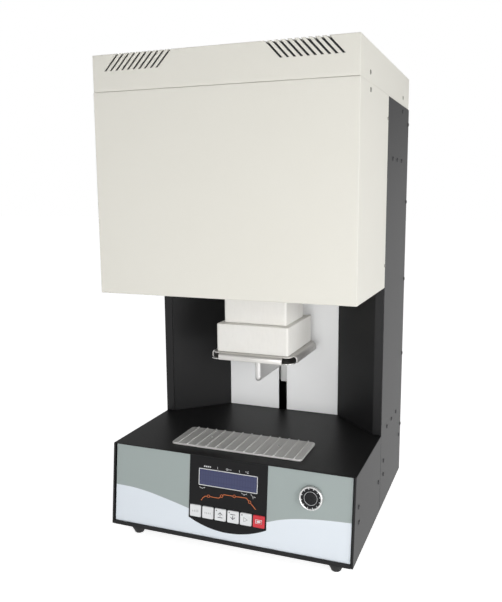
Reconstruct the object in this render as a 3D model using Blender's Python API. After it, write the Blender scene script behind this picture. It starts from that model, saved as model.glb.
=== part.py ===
"""Bench-top dental furnace with a lift-in hearth, built as separate named pieces.

Metres, +Z up, front towards -Y. The origin is at floor level under the middle of the body.
"""

import math

import bmesh
import bpy
from mathutils import Matrix, Vector
from mathutils.geometry import tessellate_polygon

# Whole body
BODY_WIDTH = 0.380
BODY_DEPTH = 0.368
BASE_HEIGHT = 0.1257
BASE_SETBACK = 0.0162
FRONT_LEAN = 0.0131
BAY_HEIGHT = 0.2352
CABINET_HEIGHT = 0.2824
CAP_HEIGHT = 0.0496
TOWER_DEPTH = 0.1840
SHEET = 0.0015
SEAT_GAP = 0.0003
EDGE_SOFTNESS = 0.0006

# Feet
FOOT_HEIGHT = 0.022
FOOT_TOP_RADIUS = 0.0140
FOOT_BELLY_RADIUS = 0.0115
FOOT_TREAD_RADIUS = 0.0070
FOOT_BELLY_SHARE = 0.45
FOOT_SIDE_INSET = 0.0306
FOOT_FRONT_INSET = 0.0290
FOOT_REAR_INSET = 0.0350

# Base
SHELL_WALL = 0.0030
TABLE_SHEET = 0.0012
FASCIA_SIDE_GAP = 0.0016
FASCIA_TOP_GAP = 0.0004
FASCIA_LIFT = 0.0024
PANEL_RECESS = 0.0022
FASCIA_RECESS = 0.0008
FASCIA_THICKNESS = 0.0020
PAN_LIP_HEIGHT = 0.0058

# Control area on the sloped front, measured down from the table edge
CONTROL_CENTRE_X = 0.0013
OVERLAY_WIDTH = 0.1226
OVERLAY_TOP_DROP = 0.0010
OVERLAY_CORNER_DROP = 0.0954
OVERLAY_SAG = 0.0142
OVERLAY_THICKNESS = 0.0005
OVERLAY_SAG_STEPS = 24
DISPLAY_WIDTH = 0.0920
DISPLAY_HEIGHT = 0.0245
DISPLAY_DROP = 0.0323
DISPLAY_GLASS = 0.0020
DISPLAY_GLASS_RECESS = 0.0003
DISPLAY_RIM = 0.0040
DISPLAY_MODULE_DEPTH = 0.0021
KEY_COUNT = 6
KEY_SIZE = 0.0176
KEY_PITCH = 0.02004
KEY_DROP = 0.0842
KEY_PROUD = 0.0013
KEY_DEPTH = 0.0058
KEY_CORNER = 0.0016
KEY_TRAVEL_ROOM = 0.0010
KEY_SLOT_GAP = 0.0004
BOARD_MARGIN = 0.0040
BOARD_THICKNESS = 0.0016

# Selector knob
KNOB_SIDE_INSET = 0.0622
KNOB_DROP = 0.0373
KNOB_RADIUS = 0.0170
KNOB_FACE_RADIUS = 0.0162
KNOB_SKIRT_DEPTH = 0.0022
KNOB_HEIGHT = 0.0050
KNOB_STANDOFF = 0.0006
KNOB_FACE_DISH = 0.0006
ENCODER_SHAFT_RADIUS = 0.0030
ENCODER_SHAFT_REACH = 0.0034
ENCODER_BODY_RADIUS = 0.0080
ENCODER_BODY_DEPTH = 0.0090
SHAFT_CLEARANCE = 0.0004

# Cooling plate on the table
TRAY_WIDTH = 0.2080
TRAY_DEPTH = 0.0730
TRAY_SETBACK = 0.0250
TRAY_FLOOR = 0.0032
TRAY_RIB_HEIGHT = 0.0013
TRAY_RIB_WIDTH = 0.0020
TRAY_RIB_COUNT = 13
TRAY_END_CELL_SHARE = 0.75
TRAY_CORNER = 0.0050
TRAY_CORNER_PULL_SHARE = 0.30

# Tower
TOWER_FLANGE = 0.0144
BACK_PLATE_HALF_WIDTH = 0.0993
BACK_PLATE_SETBACK = 0.0753
LIFT_SLOT_WIDTH = 0.0150
LIFT_SLOT_HEIGHT = 0.1950
REAR_RECESS = 0.0090

# Cabinet and chamber
CABINET_LIP = 0.0100
HEARTH_STANDOFF = 0.0846
CASE_FRONT_GAP = 0.0312
CASE_REAR_GAP = 0.0423
CHAMBER_HALF_WIDTH = 0.0720
CHAMBER_HALF_DEPTH = 0.0720
CHAMBER_HEIGHT = 0.1600
INSULATION_SIDE = 0.0700
INSULATION_MOUTH = 0.0400
INSULATION_ROOF = 0.0450
MOUTH_CLEARANCE = 0.0040
FLOOR_CLEARANCE = 0.0030

# Cap
CAP_SIDE_INSET = 0.0006
CAP_REAR_INSET = 0.0022
VENT_COUNT = 10
VENT_PITCH = 0.00896
VENT_WIDTH = 0.0036
VENT_SIDE_INSET = 0.0207
VENT_FOOT_RISE = 0.0274
VENT_LEAN = 0.0197
VENT_LEAN_HEIGHT = 0.0208
VENT_WRAP = 0.0070

# Hearth and lift
LOWER_BLOCK_WIDTH = 0.1184
LOWER_BLOCK_DEPTH = 0.1214
LOWER_BLOCK_HEIGHT = 0.0440
LOWER_BLOCK_RISE = 0.1329
UPPER_BLOCK_HEIGHT = 0.0640
UPPER_SIDE_LEDGE = 0.0075
UPPER_FRONT_LEDGE = 0.0132
UPPER_REAR_LEDGE = 0.0198
BLOCK_SOFTNESS = 0.0030
LIFT_PLATE_SIZE = 0.1414
LIFT_PLATE_SHEET = 0.0015
LIFT_PLATE_DEPTH = 0.0088
LIFT_PLATE_BEND = 0.0055
LIFT_PLATE_CORNER = 0.0100
LIFT_LIP_LENGTH = 0.1040
LIFT_FRAME_SHEET = 0.0016
LIFT_FRAME_CORNER = 0.0160
LIFT_FRAME_WINDOW_SHARE = 0.55
ARM_WIDTH = 0.0094
ARM_HEIGHT = 0.0390
ARM_FRONT = 0.0365
CARRIAGE_RIB_WIDTH = 0.0120
CARRIAGE_RIB_DEPTH = 0.0080
CARRIAGE_WIDTH = 0.0900
CARRIAGE_DEPTH = 0.0320
CARRIAGE_HEIGHT = 0.0740
CARRIAGE_DROP = 0.0338
CARRIAGE_STANDOFF = 0.0057
GUIDE_ROD_RADIUS = 0.0060
GUIDE_ROD_SPACING = 0.0640
SCREW_RADIUS = 0.0060
SCREW_TAIL = 0.0080
RUNNING_CLEARANCE = 0.0004
LIFT_BASE_RISE = 0.0780
LIFT_BEAM = 0.0080
LIFT_BASE_LEG = 0.0080
LIFT_BASE_HALF_WIDTH = 0.0600
LIFT_HEAD_DROP = 0.0160
COUPLING_RADIUS = 0.0110
COUPLING_HEIGHT = 0.0140
MOTOR_SIZE = 0.0560
MOTOR_HEIGHT = 0.0420
MOTOR_SHAFT_RADIUS = 0.0040
MOTOR_CORNER = 0.0050

# Heating elements and temperature probe
ELEMENT_RADIUS = 0.0030
ELEMENT_HOLE_CLEARANCE = 0.0008
ELEMENT_WALL_GAP = 0.0100
ELEMENT_SHANK_SPACING = 0.0360
ELEMENT_PITCH = 0.0640
ELEMENT_BOTTOM_CLEARANCE = 0.0200
ELEMENT_TOP_REACH = 0.0200
ELEMENT_BEND_STEPS = 8
PROBE_RADIUS = 0.0035
PROBE_SETBACK = 0.0450
PROBE_REACH = 0.0350
PROBE_HEAD_RADIUS = 0.0120
PROBE_HEAD_HEIGHT = 0.0180

# Electrical pieces inside the base and on the rear
TRANSFORMER_SIDE_INSET = 0.0650
TRANSFORMER_Y = -0.0200
TRANSFORMER_WIDTH = 0.0840
TRANSFORMER_CORE_DEPTH = 0.0420
TRANSFORMER_COIL_DEPTH = 0.0700
TRANSFORMER_HEIGHT = 0.0720
TRANSFORMER_LEG = 0.0140
POWER_BOARD_SIDE_INSET = 0.0670
POWER_BOARD_Y = -0.0100
POWER_BOARD_WIDTH = 0.0900
POWER_BOARD_DEPTH = 0.1200
POWER_BOARD_LEG = 0.0060
POWER_BOARD_PART_HEIGHT = 0.0220
POWER_BOARD_PART_LENGTH = 0.0240
FAN_SIDE_INSET = 0.0750
FAN_RISE = 0.0640
FAN_SIZE = 0.0800
FAN_DEPTH = 0.0250
FAN_BORE_RADIUS = 0.0375
FAN_TIP_CLEARANCE = 0.0012
FAN_HUB_RADIUS = 0.0160
FAN_ROTOR_DEPTH = 0.0170
FAN_BLADE_COUNT = 7
FAN_BLADE_SHARE = 0.16
FAN_BLADE_FOOT_SHARE = 0.40
FAN_TWIST = math.radians(32.0)
FAN_REAR_GAP = 0.0004
GRILLE_RING_COUNT = 2
GRILLE_SECTOR_COUNT = 4
GRILLE_RIB = 0.0040
GRILLE_HUB_RADIUS = 0.0150
GRILLE_OUTER_RADIUS = 0.0350
GRILLE_ARC_STEPS = 6
INLET_SIDE_INSET = 0.0700
INLET_RISE = 0.0520
INLET_WIDTH = 0.0560
INLET_HEIGHT = 0.0300
INLET_DEPTH = 0.0300
INLET_FLANGE = 0.0040
INLET_FLANGE_THICKNESS = 0.0020
INLET_WALL = 0.0025
INLET_SOCKET_WIDTH = 0.0300
INLET_SOCKET_DEPTH = 0.0200
INLET_PIN_WIDTH = 0.0020
INLET_PIN_HEIGHT = 0.0060
INLET_PIN_SPACING = 0.0070
INLET_PIN_RECESS = 0.0060
SWITCH_WIDTH = 0.0130
SWITCH_HALF_HEIGHT = 0.0100
SWITCH_PROUD = 0.0022
SWITCH_DISH = 0.0022
SWITCH_BACK_RADIUS = 0.0070
SWITCH_PIVOT_DEPTH = 0.0050
SWITCH_TILT = math.radians(8.0)
SWITCH_BACK_STEPS = 8
SWITCH_POCKET_DEPTH = 0.0150
REAR_VENT_COUNT = 9
REAR_VENT_PITCH = 0.0180
REAR_VENT_WIDTH = 0.0050
REAR_VENT_HEIGHT = 0.0300
REAR_VENT_DROP = 0.0500

# Round pieces
ROUND_STEPS = 32
FINE_ROUND_STEPS = 40
SMALL_ROUND_STEPS = 16
ROD_STEPS = 20
TUBE_SIDES = 10
CORNER_STEPS = 5
BEND_STEPS = 6
SMOOTH_ANGLE = math.radians(35.0)
SHARP_EDGE_ANGLE = math.radians(50.0)

# Looks: colour, roughness, metallic
CREAM_PAINT = ((0.80, 0.79, 0.72), 0.45, 0.0)
BLACK_PAINT = ((0.020, 0.020, 0.022), 0.42, 0.0)
WHITE_PAINT = ((0.80, 0.81, 0.81), 0.45, 0.0)
GREY_PANEL = ((0.48, 0.53, 0.51), 0.40, 0.0)
BLACK_FILM = ((0.012, 0.012, 0.014), 0.35, 0.0)
DISPLAY_BLUE = ((0.050, 0.060, 0.200), 0.10, 0.0)
BOARD_GREEN = ((0.020, 0.120, 0.050), 0.55, 0.0)
KEY_WHITE = ((0.82, 0.82, 0.82), 0.40, 0.0)
KEY_RED = ((0.70, 0.03, 0.04), 0.40, 0.0)
KNOB_BLACK = ((0.015, 0.015, 0.017), 0.35, 0.0)
SATIN_STEEL = ((0.62, 0.62, 0.61), 0.32, 1.0)
BRIGHT_STEEL = ((0.72, 0.72, 0.72), 0.18, 1.0)
SATIN_ALUMINIUM = ((0.78, 0.79, 0.80), 0.38, 1.0)
BLACK_RUBBER = ((0.015, 0.015, 0.016), 0.80, 0.0)
WHITE_FIBRE = ((0.88, 0.87, 0.83), 0.92, 0.0)
DARK_CERAMIC = ((0.16, 0.15, 0.15), 0.50, 0.0)
PROBE_CERAMIC = ((0.82, 0.80, 0.74), 0.60, 0.0)
COPPER_BROWN = ((0.30, 0.13, 0.05), 0.45, 0.0)
BLACK_PLASTIC = ((0.018, 0.018, 0.020), 0.45, 0.0)

# Levels and positions that several pieces share
HALF_WIDTH = BODY_WIDTH / 2
FRONT_Y = -BODY_DEPTH / 2
REAR_Y = BODY_DEPTH / 2
BASE_Y = FRONT_Y + BASE_SETBACK
TOWER_Y = REAR_Y - TOWER_DEPTH
BASE_Z = FOOT_HEIGHT
TABLE_Z = BASE_Z + BASE_HEIGHT
CABINET_Z = TABLE_Z + BAY_HEIGHT
SEAM_Z = CABINET_Z + CABINET_HEIGHT
TOP_Z = SEAM_Z + CAP_HEIGHT
INNER_HALF = HALF_WIDTH - SHEET
PAN_TOP_Z = BASE_Z + SHEET
BACK_PLATE_Y = TOWER_Y + BACK_PLATE_SETBACK
REAR_PANEL_Y = REAR_Y - REAR_RECESS
CHAMBER_FLOOR_Z = CABINET_Z + SHEET + SEAT_GAP
MOUTH_Z = CHAMBER_FLOOR_Z + SHEET + SEAT_GAP
WALL_Z = MOUTH_Z + INSULATION_MOUTH + SEAT_GAP
ROOF_Z = WALL_Z + CHAMBER_HEIGHT + SEAT_GAP
ROOF_TOP_Z = ROOF_Z + INSULATION_ROOF
HEARTH_Y = BACK_PLATE_Y - HEARTH_STANDOFF
HEARTH_Z = TABLE_Z + LOWER_BLOCK_RISE
LIFT_PLATE_TOP_Z = HEARTH_Z - SEAT_GAP
LIFT_FRAME_TOP_Z = LIFT_PLATE_TOP_Z - LIFT_PLATE_DEPTH - SEAT_GAP
ARM_TOP_Z = LIFT_FRAME_TOP_Z - LIFT_FRAME_SHEET - SEAT_GAP
CARRIAGE_Y = BACK_PLATE_Y + SHEET + CARRIAGE_STANDOFF
CARRIAGE_BODY_Y = CARRIAGE_Y + CARRIAGE_RIB_DEPTH
SCREW_Y = CARRIAGE_BODY_Y + CARRIAGE_DEPTH / 2
CARRIAGE_Z = ARM_TOP_Z - ARM_HEIGHT - CARRIAGE_DROP
LIFT_BASE_Z = BASE_Z + LIFT_BASE_RISE
LIFT_HEAD_Z = CHAMBER_FLOOR_Z - LIFT_HEAD_DROP
FRONT_ANGLE = math.atan2(FRONT_LEAN, BASE_HEIGHT)
SLOPE_FRAME = Matrix.Translation((0, BASE_Y, TABLE_Z)) @ Matrix.Rotation(-FRONT_ANGLE, 4, "X")
LEAN_FRAME = SLOPE_FRAME @ Matrix.Translation((0, PANEL_RECESS, 0))
BOARD_Y = KEY_DEPTH - KEY_PROUD + KEY_TRAVEL_ROOM
INLET_Z = BASE_Z + INLET_RISE
INLET_X = -HALF_WIDTH + INLET_SIDE_INSET
KNOB_X = HALF_WIDTH - KNOB_SIDE_INSET
FAN_X = HALF_WIDTH - FAN_SIDE_INSET
CASE_FRONT_Y = FRONT_Y + SHEET + CASE_FRONT_GAP
CASE_REAR_Y = REAR_PANEL_Y - CASE_REAR_GAP
CASE_HALF_WIDTH = CHAMBER_HALF_WIDTH + INSULATION_SIDE
FAN_Z = BASE_Z + FAN_RISE


def clear_scene():
    for old in list(bpy.data.objects):
        bpy.data.objects.remove(old, do_unlink=True)


def paint(obj, look):
    colour, roughness, metallic = look
    mat = bpy.data.materials.new(obj.name)
    mat.use_nodes = True
    shader = mat.node_tree.nodes["Principled BSDF"]
    shader.inputs["Base Color"].default_value = (*colour, 1)
    shader.inputs["Roughness"].default_value = roughness
    shader.inputs["Metallic"].default_value = metallic
    obj.data.materials.clear()
    obj.data.materials.append(mat)


def finish(name, bm, look, smooth=False, frame=None):
    bmesh.ops.recalc_face_normals(bm, faces=bm.faces)
    if frame is not None:
        bmesh.ops.transform(bm, matrix=frame, verts=bm.verts)
    mesh = bpy.data.meshes.new(name)
    bm.to_mesh(mesh)
    bm.free()
    for face in mesh.polygons:
        face.use_smooth = smooth
    obj = bpy.data.objects.new(name, mesh)
    bpy.context.scene.collection.objects.link(obj)
    paint(obj, look)
    if smooth:
        mesh.set_sharp_from_angle(angle=SMOOTH_ANGLE)
    return obj


def soften(obj, width, steps=2):
    bevel = obj.modifiers.new("soft_edges", "BEVEL")
    bevel.width = width
    bevel.segments = steps
    bevel.limit_method = "ANGLE"
    bevel.angle_limit = SHARP_EDGE_ANGLE


def cells(name, look, xs, ys, zs, solid, frame=None, warp=None):
    """Close the outside of the grid boxes for which solid(i, j, k) is true."""
    bm = bmesh.new()
    corners = {}

    def corner(i, j, k):
        if (i, j, k) not in corners:
            point = Vector((xs[i], ys[j], zs[k]))
            corners[(i, j, k)] = bm.verts.new(warp(point) if warp else point)
        return corners[(i, j, k)]

    def filled(i, j, k):
        inside = i in range(len(xs) - 1) and j in range(len(ys) - 1) and k in range(len(zs) - 1)
        return inside and solid(i, j, k)

    for i in range(len(xs) - 1):
        for j in range(len(ys) - 1):
            for k in range(len(zs) - 1):
                if filled(i, j, k):
                    close_cell(bm, corner, filled, (i, j, k))
    return finish(name, bm, look, frame=frame)


def close_cell(bm, corner, filled, cell):
    for axis in range(3):
        for side in (0, 1):
            step = [0, 0, 0]
            step[axis] = 1 if side else -1
            if filled(cell[0] + step[0], cell[1] + step[1], cell[2] + step[2]):
                continue
            first, second = [other for other in range(3) if other != axis]
            loop = []
            for a, b in ((0, 0), (1, 0), (1, 1), (0, 1)):
                index = list(cell)
                index[axis] += side
                index[first] += a
                index[second] += b
                loop.append(corner(*index))
            bm.faces.new(loop)


def box(name, look, low, high, frame=None):
    spans = [(low[axis], high[axis]) for axis in range(3)]
    return cells(name, look, *spans, lambda i, j, k: True, frame=frame)


def plate(name, look, outline, low, high, holes=(), plane="XY", frame=None, smooth=False):
    """Extrude an outline with holes between two levels across its plane."""
    loops = [outline, *holes]
    flat = [point for loop in loops for point in loop]
    triangles = tessellate_polygon([[Vector((u, v, 0)) for u, v in loop] for loop in loops])
    bm = bmesh.new()

    def place(u, v, level):
        return {"XY": (u, v, level), "XZ": (u, level, v), "YZ": (level, u, v)}[plane]

    lower = [bm.verts.new(place(u, v, low)) for u, v in flat]
    upper = [bm.verts.new(place(u, v, high)) for u, v in flat]
    for triangle in triangles:
        bm.faces.new([lower[n] for n in triangle])
        bm.faces.new([upper[n] for n in triangle])
    start = 0
    for loop in loops:
        count = len(loop)
        for n in range(count):
            a, b = start + n, start + (n + 1) % count
            bm.faces.new((lower[a], lower[b], upper[b], upper[a]))
        start += count
    return finish(name, bm, look, smooth=smooth, frame=frame)


def turned(name, look, profile, centre, axis="Z", steps=ROUND_STEPS, frame=None):
    """Turn (radius, height) points about an axis; radius 0 closes an end."""
    bm = bmesh.new()
    rings = []
    for radius, height in profile:
        if radius == 0:
            rings.append([bm.verts.new((0, 0, height))])
            continue
        angles = [math.tau * n / steps for n in range(steps)]
        rings.append([
            bm.verts.new((radius * math.cos(a), radius * math.sin(a), height)) for a in angles])
    for here, there in zip(rings, rings[1:]):
        for n in range(steps):
            quad = [here[n % len(here)], here[(n + 1) % len(here)],
                    there[(n + 1) % len(there)], there[n % len(there)]]
            bm.faces.new(list(dict.fromkeys(quad)))
    turn = Matrix.Identity(4)
    if axis == "Y":
        turn = Matrix.Rotation(math.pi / 2, 4, "X")
    bmesh.ops.transform(bm, matrix=Matrix.Translation(centre) @ turn, verts=bm.verts)
    return finish(name, bm, look, smooth=True, frame=frame)


def rectangle(half_u, half_v, centre=(0, 0)):
    u, v = centre
    return [(u - half_u, v - half_v), (u + half_u, v - half_v),
            (u + half_u, v + half_v), (u - half_u, v + half_v)]


def rounded_rectangle(half_u, half_v, radius, centre=(0, 0), steps=CORNER_STEPS):
    points = []
    for quarter, (sign_u, sign_v) in enumerate(((1, 1), (-1, 1), (-1, -1), (1, -1))):
        for n in range(steps + 1):
            angle = math.pi / 2 * (quarter + n / steps)
            points.append((
                centre[0] + sign_u * (half_u - radius) + radius * math.cos(angle),
                centre[1] + sign_v * (half_v - radius) + radius * math.sin(angle)))
    return points


def circle(radius, centre=(0, 0), steps=SMALL_ROUND_STEPS):
    return [(centre[0] + radius * math.cos(math.tau * n / steps),
             centre[1] + radius * math.sin(math.tau * n / steps)) for n in range(steps)]


def set_origin(obj, point):
    """Move the object's origin to a joint axis without moving its mesh."""
    obj.data.transform(Matrix.Translation(-Vector(point)))
    obj.location = point


def lean_front(point):
    """Follow the sloped front with every point on the base's front edge."""
    if point.y < BASE_Y + 2 * SHEET:
        point.y -= FRONT_LEAN * (TABLE_Z - point.z) / BASE_HEIGHT
    return point


def make_base_shell():
    tongue = INNER_HALF - SEAT_GAP
    wall = HALF_WIDTH - SHELL_WALL
    xs = (-HALF_WIDTH, -tongue, -wall, wall, tongue, HALF_WIDTH)
    ys = (BASE_Y, TOWER_Y - SEAT_GAP, BACK_PLATE_Y - SEAT_GAP)
    zs = (BASE_Z, TABLE_Z - TABLE_SHEET, TABLE_Z)

    def solid(i, j, k):
        if j == 0:
            return k == 1 or i in (0, 1, 3, 4)
        return k == 1 and 0 < i < 4

    shell = cells("base_shell", BLACK_PAINT, xs, ys, zs, solid, warp=lean_front)
    soften(shell, EDGE_SOFTNESS)


def make_base_pan():
    half = HALF_WIDTH - SHELL_WALL - SEAT_GAP
    lip_top = BASE_Z + PAN_LIP_HEIGHT
    xs = (-half, half)
    ys = (BASE_Y, BASE_Y + SHEET, REAR_PANEL_Y - SEAT_GAP)
    zs = (BASE_Z, PAN_TOP_Z, lip_top)
    cells("base_pan", BLACK_PAINT, xs, ys, zs, lambda i, j, k: k == 0 or j == 0,
          warp=lean_front)


def make_feet():
    left = -HALF_WIDTH + FOOT_SIDE_INSET
    front = BASE_Y + FOOT_FRONT_INSET - FRONT_LEAN
    rear = REAR_Y - FOOT_REAR_INSET
    places = {"foot_front_left": (left, front), "foot_front_right": (-left, front),
              "foot_rear_left": (left, rear), "foot_rear_right": (-left, rear)}
    height = FOOT_HEIGHT - SEAT_GAP
    profile = ((0, 0), (FOOT_TREAD_RADIUS, 0), (FOOT_BELLY_RADIUS, height * FOOT_BELLY_SHARE),
               (FOOT_TOP_RADIUS, height), (0, height))
    for name, (x, y) in places.items():
        turned(name, BLACK_RUBBER, profile, (x, y, 0))


def key_centre(number):
    return CONTROL_CENTRE_X + (number - (KEY_COUNT - 1) / 2) * KEY_PITCH


def control_holes(clearance):
    """Display window and key openings, shared by the panel and its overlay."""
    display = rectangle(DISPLAY_WIDTH / 2 + clearance, DISPLAY_HEIGHT / 2 + clearance,
                        (CONTROL_CENTRE_X, -DISPLAY_DROP))
    half = KEY_SIZE / 2 + clearance
    keys = [rounded_rectangle(half, half, KEY_CORNER, (key_centre(n), -KEY_DROP), steps=2)
            for n in range(KEY_COUNT)]
    return [display, *keys]


def make_fascia():
    half = HALF_WIDTH - SHELL_WALL - FASCIA_SIDE_GAP
    slope = BASE_HEIGHT / math.cos(FRONT_ANGLE)
    outline = [(-half, -slope + FASCIA_LIFT), (half, -slope + FASCIA_LIFT),
               (half, -FASCIA_TOP_GAP - TABLE_SHEET), (-half, -FASCIA_TOP_GAP - TABLE_SHEET)]
    shaft_hole = circle(ENCODER_SHAFT_RADIUS + SHAFT_CLEARANCE, (KNOB_X, -KNOB_DROP))
    plate("fascia", GREY_PANEL, outline, FASCIA_RECESS, FASCIA_RECESS + FASCIA_THICKNESS,
          holes=[*control_holes(KEY_SLOT_GAP), shaft_hole], plane="XZ", frame=LEAN_FRAME)


def make_keypad_overlay():
    half = OVERLAY_WIDTH / 2
    top = -OVERLAY_TOP_DROP - TABLE_SHEET
    radius = (half ** 2 + OVERLAY_SAG ** 2) / (2 * OVERLAY_SAG)
    outline = [(CONTROL_CENTRE_X + half, top), (CONTROL_CENTRE_X - half, top)]
    for n in range(OVERLAY_SAG_STEPS + 1):
        u = -half + OVERLAY_WIDTH * n / OVERLAY_SAG_STEPS
        sag = math.sqrt(radius ** 2 - u ** 2) - (radius - OVERLAY_SAG)
        outline.append((CONTROL_CENTRE_X + u, -OVERLAY_CORNER_DROP - sag))
    front = FASCIA_RECESS - SEAT_GAP - OVERLAY_THICKNESS
    plate("keypad_overlay", BLACK_FILM, outline, front, front + OVERLAY_THICKNESS,
          holes=control_holes(KEY_SLOT_GAP), plane="XZ", frame=LEAN_FRAME)


def make_display():
    low_x = CONTROL_CENTRE_X - DISPLAY_WIDTH / 2
    low_z = -DISPLAY_DROP - DISPLAY_HEIGHT / 2
    front = DISPLAY_GLASS_RECESS
    box("display_window", DISPLAY_BLUE, (low_x, front, low_z),
        (low_x + DISPLAY_WIDTH, front + DISPLAY_GLASS, low_z + DISPLAY_HEIGHT), frame=LEAN_FRAME)
    back = FASCIA_RECESS + FASCIA_THICKNESS + SEAT_GAP
    box("display_module", BLACK_PLASTIC, (low_x - DISPLAY_RIM, back, low_z - DISPLAY_RIM),
        (low_x + DISPLAY_WIDTH + DISPLAY_RIM, back + DISPLAY_MODULE_DEPTH,
         low_z + DISPLAY_HEIGHT + DISPLAY_RIM), frame=LEAN_FRAME)


def make_keypad_board():
    half = OVERLAY_WIDTH / 2
    top = -DISPLAY_DROP + DISPLAY_HEIGHT / 2 + DISPLAY_RIM
    bottom = -KEY_DROP - KEY_SIZE / 2 - BOARD_MARGIN
    box("keypad_board", BOARD_GREEN, (CONTROL_CENTRE_X - half, BOARD_Y, bottom),
        (CONTROL_CENTRE_X + half, BOARD_Y + BOARD_THICKNESS, top), frame=LEAN_FRAME)


def make_keys():
    half = KEY_SIZE / 2
    for n in range(KEY_COUNT):
        look = KEY_RED if n == KEY_COUNT - 1 else KEY_WHITE
        centre = (key_centre(n), -KEY_DROP)
        outline = rounded_rectangle(half, half, KEY_CORNER, centre, steps=2)
        key = plate(f"key_{n + 1}", look, outline, -KEY_PROUD, KEY_DEPTH - KEY_PROUD,
                    plane="XZ", frame=LEAN_FRAME)
        set_origin(key, LEAN_FRAME @ Vector((centre[0], -KEY_PROUD, centre[1])))


def make_knob():
    centre = (KNOB_X, 0, -KNOB_DROP)
    bore = ENCODER_SHAFT_RADIUS + SHAFT_CLEARANCE
    back = KNOB_STANDOFF
    front = back + KNOB_HEIGHT
    bore_end = back + ENCODER_SHAFT_REACH
    profile = ((0, bore_end), (bore, bore_end), (bore, back), (KNOB_RADIUS, back),
               (KNOB_RADIUS, back + KNOB_SKIRT_DEPTH), (KNOB_FACE_RADIUS, front),
               (KNOB_FACE_RADIUS - KNOB_FACE_DISH, front),
               (KNOB_FACE_RADIUS - KNOB_FACE_DISH - SHEET, front - KNOB_FACE_DISH),
               (0, front - KNOB_FACE_DISH))
    knob = turned("selector_knob", KNOB_BLACK, profile, centre, axis="Y",
                  steps=FINE_ROUND_STEPS, frame=LEAN_FRAME)
    set_origin(knob, LEAN_FRAME @ Vector(centre))
    panel_back = -(FASCIA_RECESS + FASCIA_THICKNESS + SEAT_GAP)
    body_back = panel_back - ENCODER_BODY_DEPTH
    tip = bore_end - SHAFT_CLEARANCE
    encoder = ((0, body_back), (ENCODER_BODY_RADIUS, body_back),
               (ENCODER_BODY_RADIUS, panel_back), (ENCODER_SHAFT_RADIUS, panel_back),
               (ENCODER_SHAFT_RADIUS, tip), (0, tip))
    turned("knob_encoder", SATIN_STEEL, encoder, centre, axis="Y", steps=ROD_STEPS,
           frame=LEAN_FRAME)


def make_cooling_plate():
    """Flat plate with thin raised ribs from front to back and eased plan corners."""
    half = TRAY_WIDTH / 2
    front = BASE_Y + TRAY_SETBACK
    rear = front + TRAY_DEPTH
    low = TABLE_Z + SEAT_GAP
    pitch = TRAY_WIDTH / (TRAY_RIB_COUNT - 1 + 2 * TRAY_END_CELL_SHARE)
    xs = [-half, -half + TRAY_CORNER]
    for n in range(TRAY_RIB_COUNT):
        centre = pitch * (n - (TRAY_RIB_COUNT - 1) / 2)
        xs += [centre - TRAY_RIB_WIDTH / 2, centre + TRAY_RIB_WIDTH / 2]
    xs += [half - TRAY_CORNER, half]
    ys = (front, front + TRAY_CORNER, rear - TRAY_CORNER, rear)
    zs = (low, low + TRAY_FLOOR, low + TRAY_FLOOR + TRAY_RIB_HEIGHT)

    def ease_corner(point):
        from_middle = point.y - (front + rear) / 2
        at_end = abs(from_middle) > TRAY_DEPTH / 2 - SEAT_GAP
        if at_end and abs(point.x) > half - SEAT_GAP:
            pull = TRAY_CORNER * TRAY_CORNER_PULL_SHARE
            point.x -= math.copysign(pull, point.x)
            point.y -= math.copysign(pull, from_middle)
        return point

    tray = cells("cooling_plate", SATIN_ALUMINIUM, xs, ys, zs,
                 lambda i, j, k: k == 0 or 1 < i < len(xs) - 3 and i % 2 == 0,
                 warp=ease_corner)
    soften(tray, EDGE_SOFTNESS, steps=1)


def make_tower_sides():
    outer, inner = HALF_WIDTH, INNER_HALF
    flange = HALF_WIDTH - TOWER_FLANGE
    for name, side in (("tower_side_left", -1), ("tower_side_right", 1)):
        xs = sorted((side * flange, side * inner, side * outer))
        ys = (TOWER_Y, TOWER_Y + SHEET, REAR_Y)
        zs = (BASE_Z, TABLE_Z + SEAT_GAP, CHAMBER_FLOOR_Z - SEAT_GAP, SEAM_Z - SEAT_GAP)
        wall = 0 if side < 0 else 1
        panel = cells(name, BLACK_PAINT, xs, ys, zs,
                      lambda i, j, k, wall=wall: i == wall or (j == 0 and k == 1))
        soften(panel, EDGE_SOFTNESS, steps=1)


def make_inner_walls():
    start = Vector((HALF_WIDTH - TOWER_FLANGE, TOWER_Y + SHEET + SEAT_GAP))
    end = Vector((BACK_PLATE_HALF_WIDTH + SEAT_GAP, BACK_PLATE_Y))
    along = (end - start).normalized()
    across = Vector((-along.y, along.x)) * SHEET
    if across.y < 0:
        across = -across
    outline = [start, end, end + across, start + across]
    low, high = TABLE_Z + SEAT_GAP, CHAMBER_FLOOR_Z - SEAT_GAP
    for name, side in (("inner_wall_left", -1), ("inner_wall_right", 1)):
        plate(name, BLACK_PAINT, [(side * p.x, p.y) for p in outline], low, high)


def make_back_plate():
    low, high = TABLE_Z + SEAT_GAP, CHAMBER_FLOOR_Z - SEAT_GAP
    half, slot = BACK_PLATE_HALF_WIDTH, LIFT_SLOT_WIDTH / 2
    slot_top = low + LIFT_SLOT_HEIGHT
    outline = [(-half, low), (-slot, low), (-slot, slot_top), (slot, slot_top), (slot, low),
               (half, low), (half, high), (-half, high)]
    plate("slotted_back_plate", WHITE_PAINT, outline, BACK_PLATE_Y, BACK_PLATE_Y + SHEET,
          plane="XZ")


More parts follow.
